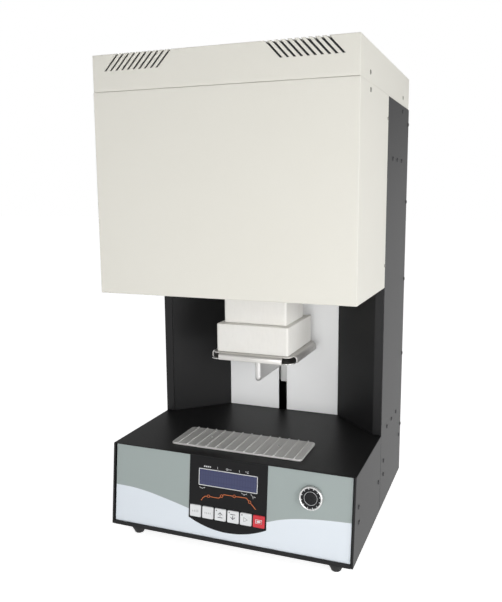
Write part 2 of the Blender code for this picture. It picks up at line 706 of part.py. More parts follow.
def grille_sector(ring, sector):
    step = (GRILLE_OUTER_RADIUS - GRILLE_HUB_RADIUS) / GRILLE_RING_COUNT
    inner = GRILLE_HUB_RADIUS + step * ring
    outer = inner + step - GRILLE_RIB
    span = math.tau / GRILLE_SECTOR_COUNT
    points = []
    for radius, order in ((inner, 1), (outer, -1)):
        margin = GRILLE_RIB / radius
        for n in range(GRILLE_ARC_STEPS + 1)[::order]:
            angle = span * sector + margin + (span - 2 * margin) * n / GRILLE_ARC_STEPS
            points.append((FAN_X + radius * math.cos(angle), FAN_Z + radius * math.sin(angle)))
    return points


def make_rear_panel():
    half = INNER_HALF - SEAT_GAP
    low, high = BASE_Z, SEAM_Z - SEAT_GAP
    outline = [(-half, low), (half, low), (half, high), (-half, high)]
    holes = [rectangle(INLET_WIDTH / 2 + SEAT_GAP, INLET_HEIGHT / 2 + SEAT_GAP,
                       (INLET_X, INLET_Z))]
    for ring in range(GRILLE_RING_COUNT):
        holes += [grille_sector(ring, sector) for sector in range(GRILLE_SECTOR_COUNT)]
    vent_z = high - REAR_VENT_DROP
    for n in range(REAR_VENT_COUNT):
        u = (n - (REAR_VENT_COUNT - 1) / 2) * REAR_VENT_PITCH
        holes.append(rectangle(REAR_VENT_WIDTH / 2, REAR_VENT_HEIGHT / 2, (u, vent_z)))
    plate("rear_panel", BLACK_PAINT, outline, REAR_PANEL_Y, REAR_PANEL_Y + SHEET,
          holes=holes, plane="XZ")


def make_cabinet_shell():
    outer, inner = HALF_WIDTH, INNER_HALF
    lip = HALF_WIDTH - CABINET_LIP
    xs = (-outer, -inner, -lip, lip, inner, outer)
    ys = (FRONT_Y, FRONT_Y + SHEET, FRONT_Y + CABINET_LIP, TOWER_Y - SEAT_GAP)
    zs = (CABINET_Z, CABINET_Z + SHEET, SEAM_Z - SEAT_GAP)

    def solid(i, j, k):
        if i in (0, 4) or j == 0:
            return True
        return k == 0 and (i in (1, 3) or j == 1)

    shell = cells("cabinet_shell", CREAM_PAINT, xs, ys, zs, solid)
    soften(shell, EDGE_SOFTNESS)


def hearth_outline(clearance):
    """Plan of the lower block, grown by a clearance on every side."""
    return rectangle(LOWER_BLOCK_WIDTH / 2 + clearance, LOWER_BLOCK_DEPTH / 2 + clearance,
                     (0, HEARTH_Y))


def plug_bounds(clearance):
    """Low and high plan corners of the upper block, grown by a clearance."""
    half = LOWER_BLOCK_WIDTH / 2 - UPPER_SIDE_LEDGE + clearance
    front = HEARTH_Y - LOWER_BLOCK_DEPTH / 2 + UPPER_FRONT_LEDGE - clearance
    rear = HEARTH_Y + LOWER_BLOCK_DEPTH / 2 - UPPER_REAR_LEDGE + clearance
    return (-half, front), (half, rear)


def make_chamber_floor():
    half = INNER_HALF - SEAT_GAP
    front = FRONT_Y + SHEET + SEAT_GAP
    outline = [(-half, front), (half, front), (half, REAR_PANEL_Y - SEAT_GAP),
               (-half, REAR_PANEL_Y - SEAT_GAP)]
    plate("chamber_floor", SATIN_STEEL, outline, CHAMBER_FLOOR_Z, CHAMBER_FLOOR_Z + SHEET,
          holes=[hearth_outline(FLOOR_CLEARANCE)])


def make_insulation():
    out_x = CASE_HALF_WIDTH
    (mouth_left, mouth_front), (mouth_right, mouth_rear) = plug_bounds(MOUTH_CLEARANCE)
    xs = (-out_x, mouth_left, mouth_right, out_x)
    ys = (CASE_FRONT_Y, mouth_front, mouth_rear, CASE_REAR_Y)
    mouth = cells("insulation_mouth", WHITE_FIBRE, xs, ys, (MOUTH_Z, MOUTH_Z + INSULATION_MOUTH),
                  lambda i, j, k: i != 1 or j != 1)
    soften(mouth, EDGE_SOFTNESS, steps=1)
    top = WALL_Z + CHAMBER_HEIGHT
    for name, low, high in (
            ("insulation_left", -out_x, -CHAMBER_HALF_WIDTH),
            ("insulation_right", CHAMBER_HALF_WIDTH, out_x)):
        box(name, WHITE_FIBRE, (low, CASE_FRONT_Y, WALL_Z), (high, CASE_REAR_Y, top))
    half = CHAMBER_HALF_WIDTH - SEAT_GAP
    for name, low, high in (
            ("insulation_front", CASE_FRONT_Y, HEARTH_Y - CHAMBER_HALF_DEPTH),
            ("insulation_back", HEARTH_Y + CHAMBER_HALF_DEPTH, CASE_REAR_Y)):
        box(name, WHITE_FIBRE, (-half, low, WALL_Z), (half, high, top))
    make_insulation_roof()


def element_places():
    """Side and middle line of each heating element."""
    x = CHAMBER_HALF_WIDTH - ELEMENT_WALL_GAP
    return [(side * x, HEARTH_Y + row * ELEMENT_PITCH / 2) for side in (-1, 1) for row in (-1, 1)]


def make_insulation_roof():
    holes = []
    radius = ELEMENT_RADIUS + ELEMENT_HOLE_CLEARANCE
    for x, y in element_places():
        for shank in (-1, 1):
            holes.append(circle(radius, (x, y + shank * ELEMENT_SHANK_SPACING / 2),
                                steps=TUBE_SIDES))
    holes.append(circle(PROBE_RADIUS + ELEMENT_HOLE_CLEARANCE, (0, HEARTH_Y + PROBE_SETBACK),
                        steps=TUBE_SIDES))
    half = CASE_HALF_WIDTH
    outline = [(-half, CASE_FRONT_Y), (half, CASE_FRONT_Y), (half, CASE_REAR_Y), (-half, CASE_REAR_Y)]
    plate("insulation_roof", WHITE_FIBRE, outline, ROOF_Z, ROOF_TOP_Z, holes=holes)


def make_heating_elements():
    bottom = WALL_Z + ELEMENT_BOTTOM_CLEARANCE
    top = ROOF_TOP_Z + ELEMENT_TOP_REACH
    bend = ELEMENT_SHANK_SPACING / 2
    for number, (x, y) in enumerate(element_places(), start=1):
        path = [(y - bend, top)]
        for n in range(ELEMENT_BEND_STEPS + 1):
            angle = math.pi * (1 + n / ELEMENT_BEND_STEPS)
            path.append((y + bend * math.cos(angle), bottom + bend + bend * math.sin(angle)))
        path.append((y + bend, top))
        make_bent_rod(f"heating_element_{number}", DARK_CERAMIC, x, path, ELEMENT_RADIUS)


def make_bent_rod(name, look, x, path, radius):
    """Round rod along a path of (y, z) points at one x."""
    bm = bmesh.new()
    rings = []
    for n, (y, z) in enumerate(path):
        before = Vector(path[max(n - 1, 0)])
        after = Vector(path[min(n + 1, len(path) - 1)])
        if 0 < n < len(path) - 1:
            here = Vector(path[n])
            along = (here - before).normalized() + (after - here).normalized()
        else:
            along = after - before
        along.normalize()
        side = Vector((0, -along.y, along.x))
        ring = []
        for m in range(TUBE_SIDES):
            angle = math.tau * m / TUBE_SIDES
            offset = Vector((math.cos(angle), 0, 0)) + side * math.sin(angle)
            ring.append(bm.verts.new(Vector((x, y, z)) + offset * radius))
        rings.append(ring)
    for here, there in zip(rings, rings[1:]):
        for m in range(TUBE_SIDES):
            follow = (m + 1) % TUBE_SIDES
            bm.faces.new((here[m], here[follow], there[follow], there[m]))
    bm.faces.new(rings[0])
    bm.faces.new(rings[-1])
    return finish(name, bm, look, smooth=True)


def make_probe():
    head = ROOF_TOP_Z + SEAT_GAP
    tip = ROOF_Z - PROBE_REACH
    profile = ((0, tip), (PROBE_RADIUS, tip), (PROBE_RADIUS, head), (PROBE_HEAD_RADIUS, head),
               (PROBE_HEAD_RADIUS, head + PROBE_HEAD_HEIGHT), (0, head + PROBE_HEAD_HEIGHT))
    turned("temperature_probe", PROBE_CERAMIC, profile, (0, HEARTH_Y + PROBE_SETBACK, 0),
           steps=SMALL_ROUND_STEPS)


def make_vent_cutter(front, top):
    """Slanted slots in two mirrored groups, cut over the cap's top front edge."""
    bm = bmesh.new()
    foot = SEAM_Z + VENT_FOOT_RISE
    rise = top + VENT_WIDTH - foot
    lean = VENT_LEAN * rise / VENT_LEAN_HEIGHT
    for side in (-1, 1):
        for n in range(VENT_COUNT):
            x = side * (HALF_WIDTH - VENT_SIDE_INSET - VENT_PITCH * n)
            corners = []
            for y in (front - VENT_WIDTH, front + VENT_WRAP):
                for shift, z in ((0, foot), (-side * lean, top + VENT_WIDTH)):
                    for edge in (-1, 1):
                        corners.append(bm.verts.new((x + shift + edge * VENT_WIDTH / 2, y, z)))
            a, b, c, d, e, f, g, h = corners
            for loop in ((a, b, d, c), (e, f, h, g), (a, b, f, e), (c, d, h, g), (a, c, g, e),
                         (b, d, h, f)):
                bm.faces.new(loop)
    cutter = finish("vent_cutter", bm, BLACK_PAINT)
    cutter.hide_render = True
    cutter.display_type = "WIRE"
    return cutter


def make_cap():
    outer = HALF_WIDTH - CAP_SIDE_INSET
    front = FRONT_Y
    rear = REAR_Y - CAP_REAR_INSET
    xs = (-outer, -outer + SHEET, outer - SHEET, outer)
    ys = (front, front + SHEET, rear - SHEET, rear)
    zs = (SEAM_Z, TOP_Z - SHEET, TOP_Z)
    cap = cells("top_cap", CREAM_PAINT, xs, ys, zs,
                lambda i, j, k: k == 1 or i != 1 or j != 1)
    soften(cap, EDGE_SOFTNESS)
    cut = cap.modifiers.new("vents", "BOOLEAN")
    cut.operation = "DIFFERENCE"
    cut.solver = "EXACT"
    cut.object = make_vent_cutter(front, TOP_Z)


def make_hearth():
    half_x, half_y = LOWER_BLOCK_WIDTH / 2, LOWER_BLOCK_DEPTH / 2
    top = HEARTH_Z + LOWER_BLOCK_HEIGHT
    lower = box("hearth_lower_block", WHITE_FIBRE, (-half_x, HEARTH_Y - half_y, HEARTH_Z),
                (half_x, HEARTH_Y + half_y, top))
    (left, front), (right, rear) = plug_bounds(0)
    upper = box("hearth_upper_block", WHITE_FIBRE, (left, front, top + SEAT_GAP),
                (right, rear, top + UPPER_BLOCK_HEIGHT))
    for block in (lower, upper):
        soften(block, BLOCK_SOFTNESS, steps=3)


def make_lift_plate():
    """Flat sheet with a rolled-down lip along each side and open corners."""
    bm = bmesh.new()
    half = LIFT_PLATE_SIZE / 2
    flat = half - LIFT_PLATE_BEND
    lip = LIFT_LIP_LENGTH / 2
    top = LIFT_PLATE_TOP_Z
    drop = LIFT_PLATE_DEPTH - LIFT_PLATE_BEND
    edge_ends = []
    outline = []
    for quarter in range(4):
        turn = Matrix.Rotation(math.pi / 2 * quarter, 3, "Z")
        ends = [bm.verts.new(turn @ Vector((flat, side * lip, 0))) for side in (-1, 1)]
        corner = []
        for n in range(CORNER_STEPS + 1):
            angle = math.pi / 2 * n / CORNER_STEPS
            arc = Vector((math.cos(angle), math.sin(angle), 0)) * LIFT_PLATE_CORNER
            middle = Vector((flat - LIFT_PLATE_CORNER, flat - LIFT_PLATE_CORNER, 0))
            corner.append(bm.verts.new(turn @ (middle + arc)))
        outline += [*ends, *corner]
        edge_ends.append((turn, ends))
    bm.faces.new(outline)
    for turn, ends in edge_ends:
        last = ends
        for n in range(1, BEND_STEPS + 2):
            if n <= BEND_STEPS:
                angle = math.pi / 2 * n / BEND_STEPS
                out = flat + LIFT_PLATE_BEND * math.sin(angle)
                low = -LIFT_PLATE_BEND * (1 - math.cos(angle))
            else:
                out, low = half, -LIFT_PLATE_BEND - drop
            row = [bm.verts.new(turn @ Vector((out, side * lip, low))) for side in (-1, 1)]
            bm.faces.new((last[0], row[0], row[1], last[1]))
            last = row
    bmesh.ops.transform(bm, matrix=Matrix.Translation((0, HEARTH_Y, top)), verts=bm.verts)
    obj = finish("lift_plate", bm, SATIN_STEEL)
    if obj.data.polygons[0].normal.z < 0:
        obj.data.flip_normals()
    thick = obj.modifiers.new("sheet", "SOLIDIFY")
    thick.thickness = LIFT_PLATE_SHEET
    thick.offset = -1


def make_lift_frame():
    half = LIFT_PLATE_SIZE / 2
    window = half * LIFT_FRAME_WINDOW_SHARE
    outline = rounded_rectangle(half, half, LIFT_FRAME_CORNER, (0, HEARTH_Y))
    lower_window = [rectangle(window / 2, window, (side * window, HEARTH_Y)) for side in (-1, 1)]
    plate("lift_frame", SATIN_STEEL, outline, LIFT_FRAME_TOP_Z - LIFT_FRAME_SHEET,
          LIFT_FRAME_TOP_Z, holes=lower_window)


def make_lift_arm():
    half = ARM_WIDTH / 2
    low = ARM_TOP_Z - ARM_HEIGHT
    outline = [(-half, ARM_TOP_Z)]
    for n in range(CORNER_STEPS * 2 + 1):
        angle = math.pi * (1 + n / (CORNER_STEPS * 2))
        outline.append((half * math.cos(angle), low + half + half * math.sin(angle)))
    outline.append((half, ARM_TOP_Z))
    plate("lift_arm", SATIN_STEEL, outline, HEARTH_Y - ARM_FRONT, CARRIAGE_Y - SEAT_GAP,
          plane="XZ", smooth=True)


def make_carriage():
    rib, half = CARRIAGE_RIB_WIDTH / 2, CARRIAGE_WIDTH / 2
    rear = CARRIAGE_BODY_Y + CARRIAGE_DEPTH
    outline = [(-rib, CARRIAGE_Y), (rib, CARRIAGE_Y), (rib, CARRIAGE_BODY_Y),
               (half, CARRIAGE_BODY_Y), (half, rear), (-half, rear), (-half, CARRIAGE_BODY_Y),
               (-rib, CARRIAGE_BODY_Y)]
    holes = [circle(SCREW_RADIUS + RUNNING_CLEARANCE, (0, SCREW_Y), steps=ROD_STEPS)]
    for side in (-1, 1):
        holes.append(circle(GUIDE_ROD_RADIUS + RUNNING_CLEARANCE,
                            (side * GUIDE_ROD_SPACING / 2, SCREW_Y), steps=ROD_STEPS))
    plate("lift_carriage", SATIN_ALUMINIUM, outline, CARRIAGE_Z, CARRIAGE_Z + CARRIAGE_HEIGHT,
          holes=holes)


def make_lift_supports():
    half = LIFT_BASE_HALF_WIDTH
    hole = SCREW_RADIUS + RUNNING_CLEARANCE
    front, rear = CARRIAGE_BODY_Y, CARRIAGE_BODY_Y + CARRIAGE_DEPTH
    xs = (-half, -half + LIFT_BASE_LEG, -hole, hole, half - LIFT_BASE_LEG, half)
    ys = (front, SCREW_Y - hole, SCREW_Y + hole, rear)
    zs = (PAN_TOP_Z + SEAT_GAP, LIFT_BASE_Z, LIFT_BASE_Z + LIFT_BEAM)

    def solid(i, j, k):
        return i in (0, 4) if k == 0 else (i, j) != (2, 1)

    cells("lift_base", SATIN_STEEL, xs, ys, zs, solid)
    box("lift_head", SATIN_STEEL, (-half, BACK_PLATE_Y + SHEET + SEAT_GAP, LIFT_HEAD_Z),
        (half, rear, LIFT_HEAD_Z + LIFT_BEAM))
    low, high = LIFT_BASE_Z + LIFT_BEAM + SEAT_GAP, LIFT_HEAD_Z - SEAT_GAP
    rod = ((0, low), (GUIDE_ROD_RADIUS, low), (GUIDE_ROD_RADIUS, high), (0, high))
    for name, side in (("guide_rod_left", -1), ("guide_rod_right", 1)):
        turned(name, BRIGHT_STEEL, rod, (side * GUIDE_ROD_SPACING / 2, SCREW_Y, 0),
               steps=ROD_STEPS)


def make_screw_drive():
    high = LIFT_HEAD_Z - SEAT_GAP
    tail = LIFT_BASE_Z - SCREW_TAIL
    screw = ((0, tail), (SCREW_RADIUS, tail), (SCREW_RADIUS, high), (0, high))
    turned("lead_screw", BRIGHT_STEEL, screw, (0, SCREW_Y, 0), steps=ROD_STEPS)
    coupling_top = tail - SEAT_GAP
    coupling_low = coupling_top - COUPLING_HEIGHT
    profile = ((0, coupling_low), (COUPLING_RADIUS, coupling_low),
               (COUPLING_RADIUS, coupling_top), (0, coupling_top))
    turned("screw_coupling", SATIN_ALUMINIUM, profile, (0, SCREW_Y, 0), steps=ROD_STEPS)
    shaft_top = coupling_low - SEAT_GAP
    make_motor(shaft_top)


def make_motor(shaft_top):
    half = MOTOR_SIZE / 2
    low = PAN_TOP_Z + SEAT_GAP
    top = low + MOTOR_HEIGHT
    shaft = MOTOR_SHAFT_RADIUS
    xs = (-half, -half + MOTOR_CORNER, -shaft, shaft, half - MOTOR_CORNER, half)
    ys = [SCREW_Y + x for x in xs]

    def solid(i, j, k):
        if k == 1:
            return i == 2 and j == 2
        return not (i in (0, 4) and j in (0, 4))

    cells("lift_motor", BLACK_PLASTIC, xs, ys, (low, top, shaft_top), solid)


def make_transformer():
    left = -HALF_WIDTH + TRANSFORMER_SIDE_INSET - TRANSFORMER_WIDTH / 2
    right = left + TRANSFORMER_WIDTH
    core, coil = TRANSFORMER_CORE_DEPTH / 2, TRANSFORMER_COIL_DEPTH / 2
    low = PAN_TOP_Z + SEAT_GAP
    high = low + TRANSFORMER_HEIGHT
    xs = (left, left + TRANSFORMER_LEG, right - TRANSFORMER_LEG, right)
    ys = [TRANSFORMER_Y + d for d in (-coil, -core, core, coil)]
    zs = (low, low + TRANSFORMER_LEG, high - TRANSFORMER_LEG, high)
    cells("transformer", COPPER_BROWN, xs, ys, zs,
          lambda i, j, k: j == 1 or (i == 1 and k == 1))


def make_power_board():
    low = PAN_TOP_Z + SEAT_GAP
    board = low + POWER_BOARD_LEG
    top = board + BOARD_THICKNESS
    half_x, half_y = POWER_BOARD_WIDTH / 2, POWER_BOARD_DEPTH / 2
    leg = POWER_BOARD_LEG
    centre = HALF_WIDTH - POWER_BOARD_SIDE_INSET
    part = POWER_BOARD_PART_LENGTH
    xs = [centre + d for d in (-half_x, -half_x + leg, -leg, half_x - leg, half_x)]
    ys = [POWER_BOARD_Y + d for d in (-half_y, -half_y + leg, 0, part, half_y - leg, half_y)]

    def solid(i, j, k):
        if k == 0:
            return i in (0, 3) and j in (0, 4)
        return k == 1 or (i, j) in ((1, 1), (2, 3))

    cells("power_board", BOARD_GREEN, xs, ys,
          (low, board, top, top + POWER_BOARD_PART_HEIGHT), solid)


def make_fan():
    half = FAN_SIZE / 2
    rear = REAR_PANEL_Y - SEAT_GAP
    plate("fan_frame", BLACK_PLASTIC, rounded_rectangle(half, half, MOTOR_CORNER, (FAN_X, FAN_Z)),
          rear - FAN_DEPTH, rear, holes=[circle(FAN_BORE_RADIUS, (FAN_X, FAN_Z), ROUND_STEPS)],
          plane="XZ", smooth=True)
    tip = FAN_BORE_RADIUS - FAN_TIP_CLEARANCE
    outline = []
    for n in range(FAN_BLADE_COUNT):
        start = math.tau * n / FAN_BLADE_COUNT
        blade = math.tau / FAN_BLADE_COUNT * FAN_BLADE_SHARE
        foot = math.tau / FAN_BLADE_COUNT * FAN_BLADE_FOOT_SHARE
        for radius, angle in ((FAN_HUB_RADIUS, start), (tip, start),
                              (tip, start + blade), (FAN_HUB_RADIUS, start + blade),
                              (FAN_HUB_RADIUS, start + foot)):
            outline.append((radius * math.cos(angle), radius * math.sin(angle)))
    back = REAR_PANEL_Y - FAN_REAR_GAP
    rotor = plate("fan_rotor", BLACK_PLASTIC, outline, -FAN_ROTOR_DEPTH, 0, plane="XZ")
    for vertex in rotor.data.vertices:
        twist = Matrix.Rotation(FAN_TWIST * vertex.co.y / FAN_ROTOR_DEPTH, 3, "Y")
        vertex.co = twist @ vertex.co
    rotor.location = (FAN_X, back, FAN_Z)


def make_inlet():
    """Mains socket with earth and line pins beside a rocker pocket, one moulding."""
    half = INLET_WIDTH / 2
    half_z = INLET_HEIGHT / 2
    socket = INLET_SOCKET_WIDTH
    left = INLET_X - half
    pocket_x = left + half * 2 - INLET_WALL - SWITCH_WIDTH - 2 * SEAT_GAP
    pin = INLET_PIN_WIDTH / 2
    middle = left + INLET_WALL + socket / 2
    xs = [left - INLET_FLANGE, left, left + INLET_WALL]
    for n in (-1, 0, 1):
        xs += [middle + n * INLET_PIN_SPACING - pin, middle + n * INLET_PIN_SPACING + pin]
    xs += [left + INLET_WALL + socket, pocket_x, left + 2 * half - INLET_WALL,
           left + 2 * half, left + 2 * half + INLET_FLANGE]
    low = INLET_Z - half_z
    pin_half = INLET_PIN_HEIGHT / 2
    zs = (low - INLET_FLANGE, low, low + INLET_WALL, INLET_Z - pin_half, INLET_Z + pin_half,
          INLET_Z + half_z - INLET_WALL, INLET_Z + half_z, INLET_Z + half_z + INLET_FLANGE)
    face = REAR_PANEL_Y + SHEET + SEAT_GAP + INLET_FLANGE_THICKNESS
    ys = (face - INLET_DEPTH, face - INLET_SOCKET_DEPTH, face - SWITCH_POCKET_DEPTH,
          face - INLET_PIN_RECESS, face - INLET_FLANGE_THICKNESS, face)

    def solid(i, j, k):
        if not (0 < i < len(xs) - 2 and 0 < k < len(zs) - 2):
            return j == 4
        in_height = 1 < k < 5
        if 1 < i < 9 and in_height and j > 0:
            return i in (3, 5, 7) and k == 3 and j < 3
        if i == 10 and in_height:
            return j < 2
        return True

    cells("power_inlet", BLACK_PLASTIC, xs, ys, zs, solid)
    return pocket_x, face


def make_power_switch(pocket_x, face):
    pivot = face - SWITCH_PIVOT_DEPTH
    turn = Matrix.Rotation(SWITCH_TILT, 2)
    outline = [(SWITCH_PIVOT_DEPTH + SWITCH_PROUD, -SWITCH_HALF_HEIGHT),
               (SWITCH_PIVOT_DEPTH + SWITCH_PROUD - SWITCH_DISH, 0),
               (SWITCH_PIVOT_DEPTH + SWITCH_PROUD, SWITCH_HALF_HEIGHT)]
    for n in range(SWITCH_BACK_STEPS + 1):
        angle = math.pi / 2 + math.pi * n / SWITCH_BACK_STEPS
        outline.append((SWITCH_BACK_RADIUS * math.cos(angle),
                        SWITCH_BACK_RADIUS * math.sin(angle)))
    turned_outline = [turn @ Vector(point) for point in outline]
    low = pocket_x + SEAT_GAP
    switch = plate("power_switch", BLACK_PLASTIC, [(p.x, p.y) for p in turned_outline],
                   low, low + SWITCH_WIDTH, plane="YZ")
    switch.location = (0, pivot, INLET_Z)


def make_part():
    clear_scene()
    make_base_shell()
    make_base_pan()
    make_feet()
    make_fascia()
    make_keypad_overlay()
    make_display()
    make_keypad_board()
    make_keys()
    make_knob()
    make_cooling_plate()
    make_tower_sides()
    make_inner_walls()
    make_back_plate()
    make_rear_panel()
    make_cabinet_shell()
    make_chamber_floor()
    make_insulation()
    make_heating_elements()
    make_probe()
    make_cap()
    make_hearth()
    make_lift_plate()
    make_lift_frame()
    make_lift_arm()
    make_carriage()
    make_lift_supports()
    make_screw_drive()
    make_transformer()
    make_power_board()
    make_fan()
    make_power_switch(*make_inlet())


make_part()
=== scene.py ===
import math

import bmesh
import bpy
from mathutils import Matrix, Vector
from mathutils.geometry import tessellate_polygon


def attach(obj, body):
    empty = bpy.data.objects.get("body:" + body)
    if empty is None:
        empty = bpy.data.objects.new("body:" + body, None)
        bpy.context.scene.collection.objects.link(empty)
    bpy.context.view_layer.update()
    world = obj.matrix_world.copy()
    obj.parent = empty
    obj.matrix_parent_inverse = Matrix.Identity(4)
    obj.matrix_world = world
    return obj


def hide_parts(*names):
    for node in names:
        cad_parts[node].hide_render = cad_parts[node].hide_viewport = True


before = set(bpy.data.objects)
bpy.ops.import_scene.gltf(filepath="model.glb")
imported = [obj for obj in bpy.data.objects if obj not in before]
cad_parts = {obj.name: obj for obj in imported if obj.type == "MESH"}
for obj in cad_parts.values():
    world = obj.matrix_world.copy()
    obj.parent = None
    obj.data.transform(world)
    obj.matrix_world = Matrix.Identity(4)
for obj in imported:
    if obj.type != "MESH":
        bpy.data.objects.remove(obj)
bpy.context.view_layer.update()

scene = bpy.context.scene

# Places of the body, in metres: the top front edge of the base is at BASE_Y and TABLE_Z,
# and the lower block of the hearth starts at HEARTH_Z
HALF_WIDTH = 0.190
FRONT_Y, TOP_Z = -0.184, 0.7149
BASE_Y, TABLE_Z = -0.1678, 0.1477
HEARTH_Y, HEARTH_Z = -0.0093, 0.2806
FRONT_ANGLE = math.atan2(0.0131, 0.1257)
PANEL_RECESS = 0.0022
PANEL = (Matrix.Translation((0, BASE_Y, TABLE_Z)) @ Matrix.Rotation(-FRONT_ANGLE, 4, "X")
         @ Matrix.Translation((0, PANEL_RECESS, 0)))
PRINT_X = 0.0013
KNOB_X, KNOB_DROP = 0.1278, 0.0373
WINDOW = (PRINT_X, -0.0323)
KEY_PITCH, KEY_DROP, KEY_HALF = 0.02004, 0.0842, 0.0088
SEAT_GAP = 0.0003
MM = 0.001


# Materials
class Look:
    """One procedural material, built step by step on its own node tree."""

    def __init__(self, name, colour, rough, metal=0.0, specular=0.5):
        self.mat = bpy.data.materials.new(name)
        self.mat.use_nodes = True
        self.tree = self.mat.node_tree
        self.shader = self.tree.nodes["Principled BSDF"]
        self.shader.inputs["Base Color"].default_value = (*colour, 1)
        self.shader.inputs["Roughness"].default_value = rough
        self.shader.inputs["Metallic"].default_value = metal
        self.shader.inputs["Specular IOR Level"].default_value = specular
        self.colour, self.rough = (*colour, 1), rough
        self.coord = self.node("ShaderNodeTexCoord").outputs["Object"]
        self.colour_out = self.rough_out = self.height_out = self.soft = None

    def node(self, kind, **values):
        made = self.tree.nodes.new(kind)
        for key, value in values.items():
            setattr(made, key, value)
        return made

    def link(self, a, b):
        self.tree.links.new(a, b)

    def mapped(self, stretch):
        if stretch == (1, 1, 1):
            return self.coord
        mapping = self.node("ShaderNodeMapping")
        mapping.inputs["Scale"].default_value = stretch
        self.link(self.coord, mapping.inputs["Vector"])
        return mapping.outputs["Vector"]

    def noise(self, scale, detail=3.0, stretch=(1, 1, 1), rough=0.55):
        tex = self.node("ShaderNodeTexNoise")
        tex.inputs["Scale"].default_value = scale
        tex.inputs["Detail"].default_value = detail
        tex.inputs["Roughness"].default_value = rough
        self.link(self.mapped(stretch), tex.inputs["Vector"])
        return tex.outputs["Fac"]

    def cells(self, scale, stretch=(1, 1, 1), feature="F1"):
        tex = self.node("ShaderNodeTexVoronoi", feature=feature)
        tex.inputs["Scale"].default_value = scale
        self.link(self.mapped(stretch), tex.inputs["Vector"])
        return tex.outputs["Distance"]

    def spread(self, value, low, high, start=0.3, end=0.7):
        ramp = self.node("ShaderNodeMapRange")
        ramp.inputs["From Min"].default_value = start
        ramp.inputs["From Max"].default_value = end
        ramp.inputs["To Min"].default_value = low
        ramp.inputs["To Max"].default_value = high
        self.link(value, ramp.inputs["Value"])
        return ramp.outputs["Result"]

    def mix(self, factor, second, mode="MIX"):
        """Blend a colour (or a colour output) over what is there by a factor output."""
        blend = self.node("ShaderNodeMix", data_type="RGBA", blend_type=mode)
        if self.colour_out is None:
            blend.inputs["A"].default_value = self.colour
        else:
            self.link(self.colour_out, blend.inputs["A"])
        if isinstance(second, tuple):
            blend.inputs["B"].default_value = (*second, 1)
        else:
            self.link(second, blend.inputs["B"])
        self.link(factor, blend.inputs["Factor"])
        self.colour_out = blend.outputs["Result"]
        return self

    def tint(self, scale, second, amount, stretch=(1, 1, 1), detail=3.0):
        return self.mix(self.spread(self.noise(scale, detail, stretch), 0, amount), second)

    def vary_rough(self, scale, low, high, stretch=(1, 1, 1)):
        self.rough_out = self.spread(self.noise(scale, 4.0, stretch), low, high)
        return self

    def bump(self, height, strength, distance):
        made = self.node("ShaderNodeBump")
        made.inputs["Strength"].default_value = strength
        made.inputs["Distance"].default_value = distance
        self.link(height, made.inputs["Height"])
        if self.height_out is not None:
            self.link(self.height_out, made.inputs["Normal"])
        self.height_out = made.outputs["Normal"]
        return self

    def grain(self, scale, strength, distance, stretch=(1, 1, 1), detail=2.0):
        return self.bump(self.noise(scale, detail, stretch), strength, distance)

    def soft_edges(self, radius):
        """Round every edge in shading, as a folded and coated sheet is rounded."""
        self.soft = self.node("ShaderNodeBevel", samples=6)
        self.soft.inputs["Radius"].default_value = radius
        self.height_out = self.soft.outputs["Normal"]
        return self

    def worn_and_highlit_edges(self, second, amount):
        """Paint edges by the angle between the soft and the true normal: a lighter rim that is
        worn paint and a painted highlight.
        """
        true = self.node("ShaderNodeNewGeometry").outputs["True Normal"]
        dot = self.node("ShaderNodeVectorMath", operation="DOT_PRODUCT")
        self.link(self.soft.outputs["Normal"], dot.inputs[0])
        self.link(true, dot.inputs[1])
        return self.mix(self.spread(dot.outputs["Value"], amount, 0, 0.80, 0.97), second)

    def coat(self, weight, rough):
        self.shader.inputs["Coat Weight"].default_value = weight
        self.shader.inputs["Coat Roughness"].default_value = rough
        return self

    def done(self):
        if self.colour_out is not None:
            self.link(self.colour_out, self.shader.inputs["Base Color"])
        if self.rough_out is not None:
            self.link(self.rough_out, self.shader.inputs["Roughness"])
        if self.height_out is not None:
            self.link(self.height_out, self.shader.inputs["Normal"])
        return self.mat


def powder(name, colour, deep, edge, rough, specular=0.5, grain=0.10, cloud=0.35):
    """Powder coat: faint cloudiness, orange-peel bump, and edges painted lighter as thin, worn
    paint and as a painted highlight.
    """
    look = Look(name, colour, rough, specular=specular).soft_edges(0.0013)
    look.tint(7, deep, cloud).tint(900, deep, 0.25)
    # Edges painted lighter: part wear, part painted highlight.
    look.worn_and_highlit_edges(edge, 0.30)
    look.vary_rough(700, rough - 0.025, rough + 0.025)
    look.grain(1500, grain, 0.00012).grain(420, grain * 0.5, 0.0002)
    return look.done()


def brushed(name, colour, dark, rough, stretch, strength=0.25, metal=1.0):
    """Brushed metal with fine streaks along one axis."""
    look = Look(name, colour, rough, metal=metal).soft_edges(0.0005)
    look.tint(700, dark, 0.45, stretch, 4.0).tint(14, dark, 0.20)
    look.vary_rough(420, rough - 0.07, rough + 0.09, stretch)
    look.grain(1400, strength, 0.00006, stretch, 4.0)
    return look.done()


def plastic(name, colour, second, rough, grain=0.12, specular=0.5):
    """Moulded plastic with a fine texture."""
    look = Look(name, colour, rough, specular=specular)
    look.tint(30, second, 0.5)
    look.vary_rough(90, rough - 0.04, rough + 0.06)
    look.grain(2200, grain, 0.00008)
    return look.done()


def printed(name, colour, second, rough, specular=0.5):
    """Printed film: even ink with a faint screen and a satin surface."""
    look = Look(name, colour, rough, specular=specular)
    look.tint(18, second, 0.30).mix(look.spread(look.cells(2400), 0, 0.06, 0.1, 0.6), second)
    look.vary_rough(35, rough - 0.03, rough + 0.05)
    look.grain(3000, 0.05, 0.00004)
    return look.done()
